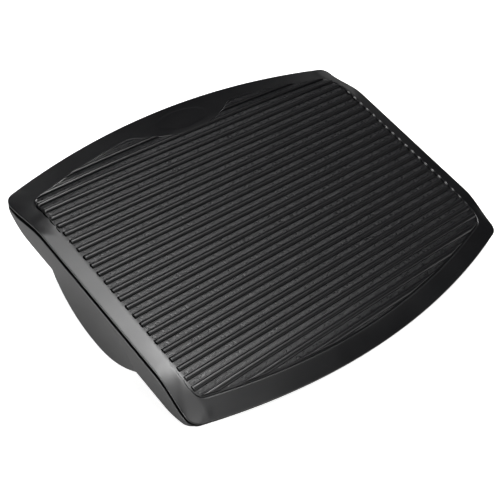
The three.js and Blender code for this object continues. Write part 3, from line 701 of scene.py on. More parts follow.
def treadRows(v, lowest, notchY, highest):
    # each rib's section, then the channel to the next rib, with rows along the grain's edges. Gives
    # the rows' places, the rib's height there as a share, and how far inside the grain they lie
    angle = np.linspace(-math.pi / 2, math.pi / 2, v["ribSteps"])
    power = 2 / v["ribPower"]
    across = v["ribWidth"] / 2 * np.sign(angle) * np.abs(np.sin(angle)) ** power
    height = np.abs(np.cos(angle)) ** power
    height[[0, -1]] = 0
    low = v["ribWidth"] / 2 + v["backStrip"]
    high = field["ribPitch"] - v["ribWidth"] / 2 - v["frontStrip"]
    inGrain = np.array([0, v["grainStep"], v["grainRound"]])
    section = np.concatenate([across, low + inGrain, high - inGrain[::-1]])
    lift = np.concatenate([height, np.zeros(2 * len(inGrain))])
    intoGrain = np.concatenate([np.full(len(across), -1.0), inGrain, inGrain[::-1]])
    firstRow = -math.ceil(fieldFront / field["ribPitch"]) - 1
    ribs = np.arange(firstRow, math.ceil(fieldBack / field["ribPitch"]) + 1)
    y = (ribs[:, None] * field["ribPitch"] + field["ribShift"] + section[None, :]).ravel()
    present = (ribs >= field["firstRib"]) & (ribs <= field["lastRib"])
    lift = (lift[None, :] * present[:, None]).ravel()
    intoGrain = np.tile(intoGrain, len(ribs))
    keep = (y > lowest + v["rowsFromEnd"]) & (y < highest - v["rowsFromEnd"])
    keep &= np.abs(y - notchY) > v["rowsFromNotch"]
    y, lift, intoGrain = y[keep], lift[keep], intoGrain[keep]
    extra = np.array([lowest, notchY, highest])
    lift = np.concatenate([lift, np.interp(extra, y, lift)])
    intoGrain = np.concatenate([intoGrain, np.interp(extra, y, intoGrain)])
    y = np.concatenate([y, extra])
    order = np.argsort(y)
    return y[order], lift[order], intoGrain[order]


def treadReach(y, front, back, backY):
    # where the floor starts and ends at each row: at the notch or the middle, and at the outline
    peak = np.argmax(backY)
    frontOrder = np.argsort(front[:, 1])
    outerFront = np.interp(y, front[frontOrder, 1], front[frontOrder, 0])
    falling = slice(len(back) - 1, peak - 1, -1)
    outerBack = np.interp(y, backY[falling], back[falling, 0])
    outer = np.where(y < 0, outerFront, outerBack)
    outer = np.where((y > front[:, 1].max()) & (y < backY[-1]), fieldHalf - field["gap"], outer)
    outer[0] = 0
    inner = np.interp(y, backY[:peak + 1], back[:peak + 1, 0])
    inner = np.where(y <= backY[0], 0, inner)
    inner[-1] = outer[-1] = back[peak, 0]
    return inner, outer


def treadSkin(v, x, y, z, grainDepth, notchRow):
    # one half and its mirror image, and from their edge down to an underside that draws in to the
    # middle and follows the fall
    rows, columns = x.shape
    half = np.stack([x, y, z], 2).reshape(-1, 3)
    quads = gridQuads(rows, columns)[:, ::-1]
    outerColumn = np.arange(rows) * columns + columns - 1
    innerColumn = np.arange(rows - 1, notchRow, -1) * columns
    rim = np.concatenate([half[outerColumn], half[innerColumn]])
    rim = np.concatenate([rim, rim[::-1] * [-1, 1, 1]])
    below = rim[:, :2]
    under = -v["ribHeight"] - v["plate"]
    rimRings = np.concatenate([rim, fallen(below, under), *shrunk(below, under, v["undersideRings"])])
    rimQuads = gridQuads(v["undersideRings"] + 1, len(rim), wrapColumns=True)
    points = np.concatenate([half, half * [-1, 1, 1], rimRings])
    faces = np.concatenate([quads, quads[:, ::-1] + len(half), rimQuads + 2 * len(half)])
    depth = np.concatenate([grainDepth, grainDepth, np.full(len(rimRings), -1.0)])
    mesh = meshFrom("tread_panel_moulding", points, faces)
    mesh.attributes.new("grainDepth", "FLOAT", "POINT").data.foreach_set("value", depth.astype(np.float32))
    bm = bmesh.new()
    bm.from_mesh(mesh)
    bmesh.ops.remove_doubles(bm, verts=bm.verts, dist=v["joinWithin"])
    bmesh.ops.dissolve_degenerate(bm, dist=v["noShorterThan"], edges=bm.edges)
    bmesh.ops.holes_fill(bm, edges=[e for e in bm.edges if e.is_boundary])
    bmesh.ops.recalc_face_normals(bm, faces=bm.faces)
    bm.to_mesh(mesh)
    bm.free()
    carry(mesh, onPlatform)
    return mesh


def makeTread(v):
    loop = fieldLoop(-field["gap"], v["steps"], dipped=False, scalloped=False)
    rightHalf = loop[loop[:, 0] > 0]
    back = rightHalf[rightHalf[:, 1] > 0]
    front = rightHalf[rightHalf[:, 1] < 0]
    back = back[np.argsort(back[:, 0])]  # from the middle of the back edge to the side
    front = front[np.argsort(front[:, 0])]
    backY = back[:, 1] - notchRise(back[:, 0])
    notchY = backY[0]
    lowest = -edgeAt(0, fieldHalf, fieldFront - field["gap"], field["frontBow"])
    y, lift, intoGrain = treadRows(v, lowest, notchY, backY.max())
    inner, outer = treadReach(y, front, back, backY)
    notchRow = np.searchsorted(y, notchY)

    # columns at set distances from each end, so that the ribs' round ends follow the outline
    endAngle = np.linspace(0, math.pi / 2, v["endSteps"])
    toRib = np.array(v["toRib"])
    onRib = v["endGap"] + v["endRound"] * (1 - np.cos(endAngle))
    onGrain = v["grainEnd"] + np.array([0, v["grainStep"], v["grainRound"]])
    offset = np.concatenate([toRib, onRib, onGrain])
    mask = np.concatenate([np.zeros(len(toRib)), np.sin(endAngle), np.ones(len(onGrain))])
    outerSlant = np.minimum(np.hypot(1, np.gradient(outer, y)), v["slantLimit"])
    innerSlant = np.minimum(np.hypot(1, np.gradient(inner, y)), v["slantLimit"])
    room = (outer - inner) / (offset[-1] * (outerSlant + innerSlant) + v["leastMiddle"])
    squeeze = np.clip(room, 0, 1)
    left = inner[:, None] + offset[None, :] * (innerSlant * squeeze)[:, None]
    right = outer[:, None] - offset[None, ::-1] * (outerSlant * squeeze)[:, None]
    between = np.linspace(0, 1, v["middleSteps"] + 2)[1:-1]
    middle = left[:, -1:] + (right[:, :1] - left[:, -1:]) * between[None, :]
    x = np.concatenate([left, middle, right], 1)
    onSide = (outer > fieldHalf - field["gap"] - nearly).astype(float)
    inNotch = (y > notchY)[:, None]
    innerMask = np.where(inNotch, np.broadcast_to(mask, left.shape), 1)
    outerMask = np.broadcast_to(mask[::-1], right.shape)
    shown = np.concatenate([innerMask, np.ones(middle.shape), outerMask], 1)
    x[:, -1] += scallopAt(y) * onSide
    y = np.broadcast_to(y[:, None], x.shape)
    # the floor's back edge is rounded: radius less the circle's height at that distance from its start
    width = math.sin(math.radians(v["edgeTurn"]))
    toEdge = np.clip(width - offset[None, :] * squeeze[:, None] / v["edgeRound"], 0, None)
    rounded = v["edgeRound"] * (1 - np.sqrt(1 - toEdge ** 2))
    onBack = smoothStep(y[:, :1], *v["edgeFade"])
    level = np.zeros(middle.shape)
    rounding = np.concatenate([rounded * inNotch, level, rounded[:, ::-1]], 1) * onBack
    z = v["ribHeight"] * (lift[:, None] * shown - 1) - rounding - fallAt(x, y)
    # depth into the grained band: a box's distance to its edge, with round corners
    bend = v["grainRound"]
    far = np.full(middle.shape, bend)
    fromEnd = offset - v["grainEnd"]
    fromInner = np.where(inNotch, np.broadcast_to(fromEnd, left.shape), bend)
    fromOuter = np.broadcast_to(fromEnd[::-1], right.shape)
    intoEnd = np.concatenate([fromInner, far, fromOuter], 1)
    corner = np.hypot(np.clip(bend - intoEnd, 0, None), np.clip(bend - intoGrain[:, None], 0, None))
    mesh = treadSkin(v, x, y, z, (bend - corner).ravel(), notchRow)
    addPiece(mesh, grainedFinish, "platform", ["tread_panel"], v["sharpAngle"])


makeTread(tread)
print("tread panel made")

# the tray: skirt under a groove, with a round cheek below the middle of each side
tray = {
    "steps": {"side": 260, "corner": 12, "end": 120},
    "outer": 0.9,  # inset of the skirt's face from the rim's edge
    "wall": 5.2,
    "grooveDepth": 4.4,
    "groove": 6.2,
    "leastSkirt": 1.7,  # of the skirt below the groove, at the ends
    "underside": 20.5,
    "floor": 3.0,
    "sideSkirt": 11.5,  # the side skirt's lower edge below the tray's underside
    "riseLength": 36.0,  # stretch over which the skirt's lower edge rises to the corner
    "bead": 1.0,
    "cheekHalfLength": 66.0,
    "cheekDepth": 41.0,
    "cheekLean": 0.12,  # inward for each unit of height below the crease
    "cheekFlange": 18.0,
    "flangeGrowth": 4.0,
    "creaseTop": 5.5,
    "creaseRound": 16.0,
    "frontCrease": 0.4,  # how softly the face turns at the crease, in front
    "backCrease": 7.0,
    "topRound": 0.6,
    "bottomRound": 0.9,
    "topRings": 3,
    "faceRings": 34,
    "bottomRings": 4,
    "innerRings": 8,
    "creaseFade": (-25.0, 35.0),  # from where to where the crease gets softer
    "least": 0.2,  # of the skirt below the tray's underside
    "flangeLeast": 0.05,  # of the flange's top below it
    "edgeCut": 0.4,  # of the flange's edges
    "edgeCutHeight": 0.1,
}


def makeTray(v):
    edge = platformLoop(0, v["steps"])
    drop = edgeDropAt(edge)
    inward = -outwardNormals(edge)
    away = np.abs(edge[:, 1])
    lip = -drop - platform["lipDepth"]
    lowest = -v["underside"] - v["least"]
    top = np.maximum(lip - v["groove"], lowest + v["leastSkirt"])
    skirtDrop = v["underside"] + v["sideSkirt"]
    rise = np.clip((away - sideLength + v["riseLength"]) / v["riseLength"], 0, 1) ** 2
    hang = np.clip(1 - (away / v["cheekHalfLength"]) ** 2, 0, 1)
    bottom = np.minimum(-skirtDrop + rise * v["sideSkirt"] - v["cheekDepth"] * hang, lowest)
    run = math.hypot(v["cheekHalfLength"], v["creaseRound"]) - v["creaseRound"]
    slope = (skirtDrop - v["creaseTop"]) / run
    crease = -v["creaseTop"] - slope * (np.hypot(away, v["creaseRound"]) - v["creaseRound"])
    atBack = smoothStep(edge[:, 1], *v["creaseFade"])
    softness = v["frontCrease"] + (v["backCrease"] - v["frontCrease"]) * atBack

    def lean(z):
        # no lean above the crease and a steady one below it: softness times log(1 + e^(depth/softness))
        return v["cheekLean"] * softness * np.logaddexp(0, (crease - z) / softness)

    def ring(inset, z):
        return raised(edge + inward * np.broadcast_to(inset, len(edge))[:, None], z)

    outer, inner = v["outer"], v["outer"] + v["wall"]
    neck = outer + v["grooveDepth"]
    lipClear = lip - field["gap"]
    rings = [ring(inner, -v["underside"] + v["floor"]), ring(inner, lipClear)]
    rings += [ring(neck, lipClear), ring(neck, top)]
    for angle in np.linspace(0, math.pi / 2, v["topRings"] + 1):  # round along the top of the skirt
        inset = outer + v["topRound"] * (1 - math.sin(angle))
        rings.append(ring(inset, top - v["topRound"] * (1 - math.cos(angle))))
    low = bottom + v["bottomRound"]
    for share in np.linspace(0, 1, v["faceRings"] + 1)[1:]:
        z = top - v["topRound"] + (low - top + v["topRound"]) * share
        rings.append(ring(outer + lean(z), z))
    for angle in np.linspace(0, math.pi / 2, v["bottomRings"] + 1)[1:]:  # and along its lower edge
        z = bottom + v["bottomRound"] * (1 - math.sin(angle))
        rings.append(ring(outer + lean(low) + v["bottomRound"] * (1 - math.cos(angle)), z))
    inside = inner + lean(bottom)
    flange = inside + v["bead"] + v["cheekFlange"] * np.minimum(v["flangeGrowth"] * hang, 1)
    flangeTop = np.minimum(bottom + v["floor"], -v["underside"] - v["flangeLeast"])
    rings.append(ring(flange - v["edgeCut"], bottom))
    rings.append(ring(flange, bottom + v["edgeCutHeight"]))
    rings.append(ring(flange, flangeTop))
    rings.append(ring(inside + v["edgeCut"], flangeTop))
    for share in np.linspace(0, 1, v["innerRings"] + 1)[1:]:
        z = flangeTop + (-v["underside"] - flangeTop) * share
        rings.append(ring(inner + lean(z), z))
    points, quads, caps = closedRings(rings)
    mesh = meshFrom("under_tray_moulding", onPlatform(points), quads, caps)
    addPiece(mesh, plasticFinish, "platform", ["under_tray"])


makeTray(tray)
print("tray made")


# turned and pressed pieces, from profiles and outlines in millimetres
def softened(points, size, closed=True):
    # each corner becomes a short curve: its two neighbours' directions cut by the size, and between
    # the cuts the point (cut + 2 corner + cut) / 4
    points = np.asarray(points, float)
    before, after = np.roll(points, 1, 0) - points, np.roll(points, -1, 0) - points
    size = np.broadcast_to(size, len(points))[:, None]
    first = points + before / np.linalg.norm(before, axis=1, keepdims=True) * size
    last = points + after / np.linalg.norm(after, axis=1, keepdims=True) * size
    soft = np.stack([first, (first + 2 * points + last) / 4, last], 1).reshape(-1, points.shape[1])
    return soft if closed else np.concatenate([points[:1], soft[3:-3], points[-1:]])


def ringOf(radius, count, centre=(0.0, 0.0)):
    angle = np.arange(count) / count * 2 * math.pi
    return np.stack([centre[0] + radius * np.cos(angle), centre[1] + radius * np.sin(angle)], 1)


def spun(profile, count, closed=False):
    # a profile of (along, radius) turned about the first axis
    angle = np.arange(count) / count * 2 * math.pi
    along = np.broadcast_to(profile[:, :1], (len(profile), count))
    radius = profile[:, 1:]
    points = np.stack([along, radius * np.cos(angle), radius * np.sin(angle)], 2)
    return points.reshape(-1, 3), gridQuads(len(profile), count, wrapColumns=True, wrapRows=closed)


joinWithin = 0.001  # mm, within which points are joined


def closedMesh(name, points, quads, place):
    # merges doubles, closes what is open level by level, and turns all faces outwards
    mesh = meshFrom(name, points, quads)
    bm = bmesh.new()
    bm.from_mesh(mesh)
    bmesh.ops.remove_doubles(bm, verts=bm.verts, dist=joinWithin)
    edges = [e for e in bm.edges if e.is_boundary]
    for level in sorted({round(e.verts[0].co.z, 3) for e in edges}):
        here = [e for e in edges if abs(e.verts[0].co.z - level) < 2 * joinWithin]
        bmesh.ops.triangle_fill(bm, use_beauty=True, edges=here, normal=(0, 0, 1))
    bmesh.ops.recalc_face_normals(bm, faces=bm.faces)
    bm.to_mesh(mesh)
    bm.free()
    carry(mesh, place)
    return mesh


def wall(loop, low, high, size, steps=4):
    # an outline carried from low to high, with a quarter round of the given size at both ends; a
    # negative size widens a hole instead
    normal = outwardNormals(loop)
    rings = []
    for angle in np.linspace(0, math.pi / 2, steps):
        inset = normal * size * (1 - math.sin(angle))
        rings.append(raised(loop - inset, low + abs(size) * (1 - math.cos(angle))))
    for angle in np.linspace(math.pi / 2, 0, steps):
        inset = normal * size * (1 - math.sin(angle))
        rings.append(raised(loop - inset, high - abs(size) * (1 - math.cos(angle))))
    return np.concatenate(rings), gridQuads(len(rings), len(loop), wrapColumns=True)


holeRound = 0.3  # mm, over the edges of a hole that goes through


def slab(outer, low, high, size, holes=()):
    # a plate with round edges and holes; a hole is a loop with the heights it runs between
    parts = [wall(outer, low, high, size)]
    for loop, start, end in holes:
        if start <= low and end >= high:
            parts.append(wall(loop, low, high, -holeRound, steps=3))
        else:
            parts.append((np.concatenate([raised(loop, start), raised(loop, end)]),
                          gridQuads(2, len(loop), wrapColumns=True)))
    starts = np.cumsum([0] + [len(points) for points, _ in parts])
    quads = [faces + start for (_, faces), start in zip(parts, starts)]
    return np.concatenate([points for points, _ in parts]), np.concatenate(quads)


def joinedMesh(name, meshes):
    bm = bmesh.new()
    for mesh in meshes:
        bm.from_mesh(mesh)
    joined = bpy.data.meshes.new(name)
    bm.to_mesh(joined)
    bm.free()
    return joined


def boxOf(node):
    low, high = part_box(node)
    return np.array(low) / mm, np.array(high) / mm


def middleOf(box):
    low, high = box
    return (low + high) / 2


def apartFrom(box):
    # how near to and how far from the middle plane a box lies
    low, high = box
    return sorted(abs(np.array([low[0], high[0]])))


def standing(points):
    return points * mm


def lying(points):
    # a shape drawn as (y, z, x) in the world
    return points[:, [2, 0, 1]] * mm


standY = axleY / mm
standZ = axleZ / mm


def onAxle(side):
    # a shape spun about its first axis, put on the axle, to the left with side -1
    return lambda points: (points * [side, 1, 1] + [0, standY, standZ]) * mm


def uprightAt(middle):
    # a shape spun about its first axis, stood up over a place on the floor
    return lambda points: (points[:, [1, 2, 0]] + [middle[0], middle[1], 0]) * mm


def aboutAxle(points):
    # a shape drawn as (y, z, x) about the axle while the platform lies flat
    flat = [points[:, 2], platform["pivotY"] + points[:, 0], points[:, 1] - platform["pivotDrop"]]
    return onPlatform(np.stack(flat, 1))


# the axle and what is threaded on each of its ends
axle = {
    "radius": 5.0,
    "chamfer": 0.8,
    "sides": 48,
    "clear": 0.3,
    "frictionRadius": 11.0,
    "bushRadius": 7.3,
    "bushFlangeRadius": 10.0,
    "bushFlange": 1.6,
    "waveRadius": 9.0,
    "waveSheet": 0.5,  # sheet that the wave washer is pressed from
    "waves": 3,
    "waveSoft": 0.2,  # of the wave washer's section, whose sides are one
    "capWall": 2.0,
    "capRound": 1.6,
    "capSoft": 0.4,
    "soft": 0.3,
}


def makeAxle(v):
    low, high = boxOf("pivot_axle")
    profile = [(low[0], 0), (low[0], v["radius"]), (high[0], v["radius"]), (high[0], 0)]
    points, quads = spun(softened(profile, v["chamfer"], False), v["sides"])
    addPiece(closedMesh("axle_rod", points, quads, onAxle(1)), steelFinish, "base", ["pivot_axle"])


def waveWasher(v, start, end):
    # a thin ring whose height waves along its round: middle plus height times cos(waves times angle)
    angle = np.arange(v["sides"] * 2) / v["sides"] * math.pi
    section = softened([(-0.5, -0.5), (0.5, -0.5), (0.5, 0.5), (-0.5, 0.5)], v["waveSoft"])
    inner, outer = v["radius"] + v["clear"], v["waveRadius"]
    radius = (inner + outer) / 2 + (outer - inner) * section[:, :1]
    height = (end - start - v["waveSheet"]) / 2 * np.cos(v["waves"] * angle)
    along = (start + end) / 2 + height[None, :] + v["waveSheet"] * section[:, 1:]
    points = np.stack([along, radius * np.cos(angle), radius * np.sin(angle)], 2).reshape(-1, 3)
    return points, gridQuads(len(section), len(angle), wrapColumns=True, wrapRows=True)


def makeAxleEnd(v, name, side):
    def addRound(node, shape, kind, material, body):
        mesh = closedMesh(name + "_" + node + "_" + kind, *shape, onAxle(side))
        addPiece(mesh, material, body, [name + "_" + node])

    def reach(node):
        return apartFrom(boxOf(name + "_" + node))

    def ringOfProfile(profile):
        return spun(softened(profile, v["soft"]), v["sides"], closed=True)

    bore = v["radius"] + v["clear"]
    start, end = reach("friction_washer")
    disc = [(start, bore), (end, bore), (end, v["frictionRadius"]), (start, v["frictionRadius"])]
    addRound("friction_washer", ringOfProfile(disc), "ring", nylonFinish, "base")
    start, end = reach("bush")
    flangeStart = end - v["bushFlange"]
    sleeve = [(start, bore), (end, bore), (end, v["bushFlangeRadius"])]
    sleeve += [(flangeStart, v["bushFlangeRadius"]), (flangeStart, v["bushRadius"]), (start, v["bushRadius"])]
    addRound("bush", ringOfProfile(sleeve), "ring", nylonFinish, "platform")
    addRound("wave_washer", waveWasher(v, *reach("wave_washer")), "spring", steelFinish, "base")
    start, end = reach("axle_cap")
    floor = end - v["capWall"]
    outer = bore + v["capWall"]
    cup = [(floor, 0), (floor, bore), (start, bore), (start, outer), (end, outer), (end, 0)]
    soft = [0, v["capSoft"], v["capSoft"], v["capSoft"], v["capRound"], 0]
    cap = spun(softened(cup, soft, False), v["sides"])
    addRound("axle_cap", cap, "cup", plasticFinish, "base")


# pan head screws with a cross recess and a rolled thread
screw = {
    "headRadius": 3.8,
    "headHeight": 2.4,
    "headPower": 3.0,  # 2 is a ball, more is flatter with a rounder shoulder
    "shank": 1.5,
    "thread": 0.3,  # height of the thread's ridge
    "pitch": 1.25,
    "threadStart": 0.6,  # below the head
    "tip": 2.4,
    "ringsPerMillimetre": 5,
    "slotWidth": 1.1,
    "slotReach": 2.1,  # from the head's middle
    "slotDepth": 1.5,
    "slotEndDepth": 0.7,
    "slotEndWall": 0.06,
    "slotWall": 0.012,  # radians, so that the walls lean a little
    "slotRings": (0.78, 1.2, 1.7),
    "slotColumns": (-1, -0.3, 0.3, 1),  # shares of half the slot
    "crossReach": 1.42,  # half the slot times this holds the corners of the cross
    "landColumns": 5,
    "landStart": 0.2,
    "headSteps": 15,
    "leastAngle": 0.001,
    "sharpAngle": 30.0,
}


def screwShape(v, length):
    # columns follow the cross: eight lines run along the slots' walls, at the angle whose sine is
    # half the slot over the radius, and the others are spread between them
    turn = np.linspace(0, math.pi / 2, v["headSteps"])
    shoulder = v["headRadius"] * np.sin(turn) ** (2 / v["headPower"])
    slotEnd = v["slotReach"]
    slotFoot = slotEnd + v["slotEndWall"]
    rings = [0.0, *v["slotRings"], slotEnd, slotFoot]
    radius = np.concatenate([rings, shoulder[shoulder > slotEnd + v["landStart"]]])
    share = np.clip(radius / v["headRadius"], 0, 1)
    crown = v["headHeight"] * (1 - share ** v["headPower"]) ** (1 / v["headPower"])
    sine = v["slotWidth"] / 2 / np.maximum(radius, nearly)
    half = np.arcsin(np.clip(sine, 0, math.sin(math.pi / 4) - v["leastAngle"]))
    inSlot = np.stack([half * k for k in v["slotColumns"]], 1)
    between = (math.pi / 2 - 2 * half - 2 * v["slotWall"])[:, None]
    land = (half + v["slotWall"])[:, None] + between * np.linspace(0, 1, v["landColumns"])
    quarter = np.concatenate([inSlot, land], 1)
    angle = np.concatenate([quarter + k * math.pi / 2 for k in range(4)], 1)
    sunk = np.tile([1.0] * len(v["slotColumns"]) + [0.0] * v["landColumns"], 4)
    depth = np.interp(radius, [0, slotEnd, slotFoot], [v["slotDepth"], v["slotEndDepth"], 0])
    inCross = radius < v["slotWidth"] / 2 * v["crossReach"]
    top = crown[:, None] - depth[:, None] * np.where(inCross[:, None], 1, sunk[None, :])
    head = np.stack([top, radius[:, None] * np.cos(angle), radius[:, None] * np.sin(angle)], 2)

    # the shank's radius is a saw along the axis that moves on by one pitch for each turn
    rim = angle[-1]
    count = int(length * v["ringsPerMillimetre"])
    threaded = -np.linspace(v["threadStart"], length - v["tip"], count)
    along = np.concatenate([[0.0, 0.0], threaded, [-length]])[:, None]
    turns = along / v["pitch"] + rim[None, :] / (2 * math.pi)
    size = v["shank"] + v["thread"] * (np.abs(turns % 1 - 0.5) * 2)
    size[0] = v["headRadius"]
    size[-1] = 0.0
    along = np.broadcast_to(along, size.shape)
    shank = np.stack([along, size * np.cos(rim), size * np.sin(rim)], 2)
    points = np.concatenate([head, shank]).reshape(-1, 3)
    return points, gridQuads(len(head) + len(shank), angle.shape[1], wrapColumns=True)


def makeScrew(v, node, body, low, high, headUp, place):
    # the CAD screw's box gives the head's seat and the tip
    middle = middleOf((low, high))
    seat = high[2] - v["headHeight"] if headUp else low[2] + v["headHeight"]
    length = seat - low[2] if headUp else high[2] - seat
    points, quads = screwShape(v, length)
    lift = 1 if headUp else -1
    turned = points[:, [1, 2, 0]] * [1, 1, lift] + [middle[0], middle[1], seat]
    mesh = closedMesh(node + "_turned", turned, quads, place)
    addPiece(mesh, steelFinish, body, [node], v["sharpAngle"])


sides = (("left", -1), ("right", 1))
ends = ("front", "back")
makeAxle(axle)
for sideName, sideSign in sides:
    makeAxleEnd(axle, sideName, sideSign)
    for row in ("front", "middle", "back"):
        node = "deck_screw_" + row + "_" + sideName
        makeScrew(screw, node, "platform", *flatBox(node), False, onPlatform)
    for row in ends:
        node = "bracket_screw_" + sideName + "_" + row
        makeScrew(screw, node, "platform", *flatBox(node), False, onPlatform)
        node = "upright_screw_" + row + "_" + sideName
        makeScrew(screw, node, "base", *boxOf(node), True, standing)
print("axle and screws made")

# hinge brackets: a pressed steel web with a hub, and a flange under the tray
bracket = {
    "hubRadius": 15.0,
    "halfLength": 28.0,
    "flange": 4.0,
    "web": 6.0,
    "boreRadius": 7.6,
    "screwRadius": 2.1,
    "edge": 0.5,
    "corners": (0.2, 0.2, 4.0, 4.0),  # of the flange, the first two beside the web
    "arcSteps": 32,
    "boreSides": 40,
    "holeSides": 24,
}
through = (-1e3, 1e3)  # the heights of a hole that goes right through


def hubLoop(radius, steps, rising):
    # half a circle about the axle, over it when rising, under it otherwise
    angle = np.linspace(0, math.pi, steps) + (0 if rising else math.pi)
    return np.stack([radius * np.cos(angle), radius * np.sin(angle)], 1)


def hingePart(v, name, web, boreAt, flange, screwsAt, places):
    # a web with the axle's bore and, square to it, a flange with two screw holes. Each is drawn as
    # an outline and the two heights that it is carried between
    bore = (ringOf(v["boreRadius"], v["boreSides"], boreAt), *through)
    holes = [(ringOf(v["screwRadius"], v["holeSides"], centre), *through) for centre in screwsAt]
    plate, low, high = flange
    parts = slab(*web, v["edge"], [bore]), slab(softened(plate, v["corners"]), low, high, v["edge"], holes)
    meshes = [closedMesh(name + "_part", *part, place) for part, place in zip(parts, places)]
    return joinedMesh(name, meshes)


def makeBracket(v, name, side):
    node = name + "_hinge_bracket"
    box = flatBox(node)
    start, end = apartFrom(box)
    webSide = start + v["web"]
    top = box[1][2] + platform["pivotDrop"]
    under = top - v["flange"]
    half = v["halfLength"]
    corners = [(half, under), (half, top), (-half, top), (-half, under)]
    outer = np.concatenate([corners, hubLoop(v["hubRadius"], v["arcSteps"], False)])
    plate = [(-half, webSide), (half, webSide), (half, end), (-half, end)]
    screws = [middleOf(flatBox("bracket_screw_" + name + "_" + row)) for row in ends]
    screwsAt = [(middle[1] - platform["pivotY"], abs(middle[0])) for middle in screws]
    mesh = hingePart(v, node + "_pressing", (outer, start, webSide), (0, 0), (plate, under, top), screwsAt, (
        lambda points: aboutAxle(points * [1, 1, side]),
        lambda points: aboutAxle(points[:, [0, 2, 1]] * [1, 1, side])))
    addPiece(mesh, steelFinish, "platform", [node])


# the stand: a flat frame, two uprights, rubber feet and stop pads
stand = {
    "cornerRadius": 30.0,
    "windowRadius": 15.0,
    "sideRail": 34.0,
    "endRail": 30.0,
    "edge": 1.6,
    "arcSteps": 14,
    "footPegRadius": 5.3,
    "footPegHole": 3.3,
    "stopPegRadius": 4.3,
    "stopPegHole": 4.3,
    "screwRadius": 2.1,
    "screwHole": 7.0,
    "holeSides": 28,
}
upright = {
    "hubRadius": 14.0,
    "halfLength": 40.0,
    "flange": 4.0,
    "web": 9.0,
    "boreRadius": 5.3,
    "screwRadius": 2.1,
    "edge": 1.2,
    "corners": (4.0, 0.2, 0.2, 4.0),
    "arcSteps": 32,
    "boreSides": 40,
    "holeSides": 24,
}
foot = {
    "radius": 14.0,
    "padHeight": 3.7,
    "pegRadius": 5.0,
    "grooves": (5.0, 8.0, 11.0),  # radii of the rings moulded into the sole
    "grooveHalf": 0.5,
    "grooveDepth": 0.6,
    "grooveSoft": 0.15,
    "round": 0.7,
    "pegSoft": (0.3, 0.5),  # at its foot and at its end
    "sides": 64,
}
stopPad = {"pegRadius": 4.0, "pegSoft": 0.4, "edge": 0.8, "corner": 1.6, "sides": 32}


def roundedBox(half, depth, radius, steps):
    angle = np.linspace(0, math.pi / 2, steps)
    arc = np.stack([half - radius + radius * np.cos(angle), depth - radius + radius * np.sin(angle)], 1)
    return np.concatenate([arc, (arc * [-1, 1])[::-1], arc * [-1, -1], (arc * [1, -1])[::-1]])


def makeFrame(v):
    low, high = boxOf("base_frame")
    half, depth = high[0], (high[1] - low[1]) / 2
    shift = [0, standY]
    outer = roundedBox(half, depth, v["cornerRadius"], v["arcSteps"]) + shift
    inside = (half - v["sideRail"], depth - v["endRail"])
    window = roundedBox(*inside, v["windowRadius"], v["arcSteps"]) + shift
    holes = [(window, *through)]
    for kind, radius, start, end in (
            ("foot_", v["footPegRadius"], low[2], low[2] + v["footPegHole"]),
            ("stop_pad_", v["stopPegRadius"], high[2] - v["stopPegHole"], high[2]),
            ("upright_screw_", v["screwRadius"], high[2] - v["screwHole"], high[2])):
        for row in ends:
            for name, _ in sides:
                middle = middleOf(boxOf(kind + row + "_" + name))
                holes.append((ringOf(radius, v["holeSides"], middle[:2]), start, end))
    points, quads = slab(outer, low[2], high[2], v["edge"], holes)
    mesh = closedMesh("floor_frame_moulding", points, quads, standing)
    addPiece(mesh, plasticFinish, "base", ["base_frame"])


def makeUpright(v, name, side):
    node = name + "_upright"
    box = boxOf(node)
    start, end = apartFrom(box)
    webSide = end - v["web"]
    bottom = box[0][2]
    top = bottom + v["flange"]
    half = v["halfLength"]
    corners = [(-half, top), (-half, bottom), (half, bottom), (half, top)]
    hub = hubLoop(v["hubRadius"], v["arcSteps"], True) + [0, standZ]
    outer = np.concatenate([corners, hub]) + [standY, 0]
    front, back = standY - half, standY + half
    plate = [(start, front), (webSide, front), (webSide, back), (start, back)]
    screws = [middleOf(boxOf("upright_screw_" + row + "_" + name)) for row in ends]
    screwsAt = [(abs(middle[0]), middle[1]) for middle in screws]
    axleAt = (standY, standZ)
    mesh = hingePart(v, node + "_moulding", (outer, webSide, end), axleAt, (plate, bottom, top), screwsAt, (
        lambda points: lying(points * [1, 1, side]),
        lambda points: standing(points * [side, 1, 1])))
    addPiece(mesh, plasticFinish, "base", [node])


def makeFoot(v, node):
    low, high = boxOf(node)
    sole, top = low[2], low[2] + v["padHeight"]
    profile = [(sole, 0)]
    for radius in v["grooves"]:
        profile += [(sole, radius - v["grooveHalf"]), (sole + v["grooveDepth"], radius)]
        profile.append((sole, radius + v["grooveHalf"]))
    profile += [(sole, v["radius"]), (top, v["radius"]), (top, v["pegRadius"])]
    profile += [(high[2], v["pegRadius"]), (high[2], 0)]
    soft = [0] + [v["grooveSoft"]] * 3 * len(v["grooves"]) + [v["round"], v["round"], *v["pegSoft"], 0]
    points, quads = spun(softened(profile, soft, False), v["sides"])
    mesh = closedMesh(node + "_pad", points, quads, uprightAt(middleOf((low, high))))
    addPiece(mesh, rubberFinish, "base", [node])


def makeStopPad(v, node, back):
    low, high = boxOf(node)
    frameTop = boxOf("base_frame")[1][2]
    bottom = frameTop + field["gap"]
    near, far = (low[1], high[1]) if back else (high[1], low[1])
    drop = (high[1] - low[1]) * math.tan(platform["tilt"])
    outer = [(near, bottom), (far, bottom), (far, high[2] - drop), (near, high[2])]
    outer = softened(outer if back else outer[::-1], v["corner"])
    pad = slab(outer, low[0], high[0], v["edge"])
    profile = [(low[2], 0), (low[2], v["pegRadius"]), (bottom, v["pegRadius"]), (bottom, 0)]
    peg = spun(softened(profile, v["pegSoft"], False), v["sides"])
    meshes = [closedMesh(node + "_wedge", *pad, lying),
              closedMesh(node + "_peg", *peg, uprightAt(middleOf((low, high))))]
    addPiece(joinedMesh(node + "_bumper", meshes), rubberFinish, "base", [node])


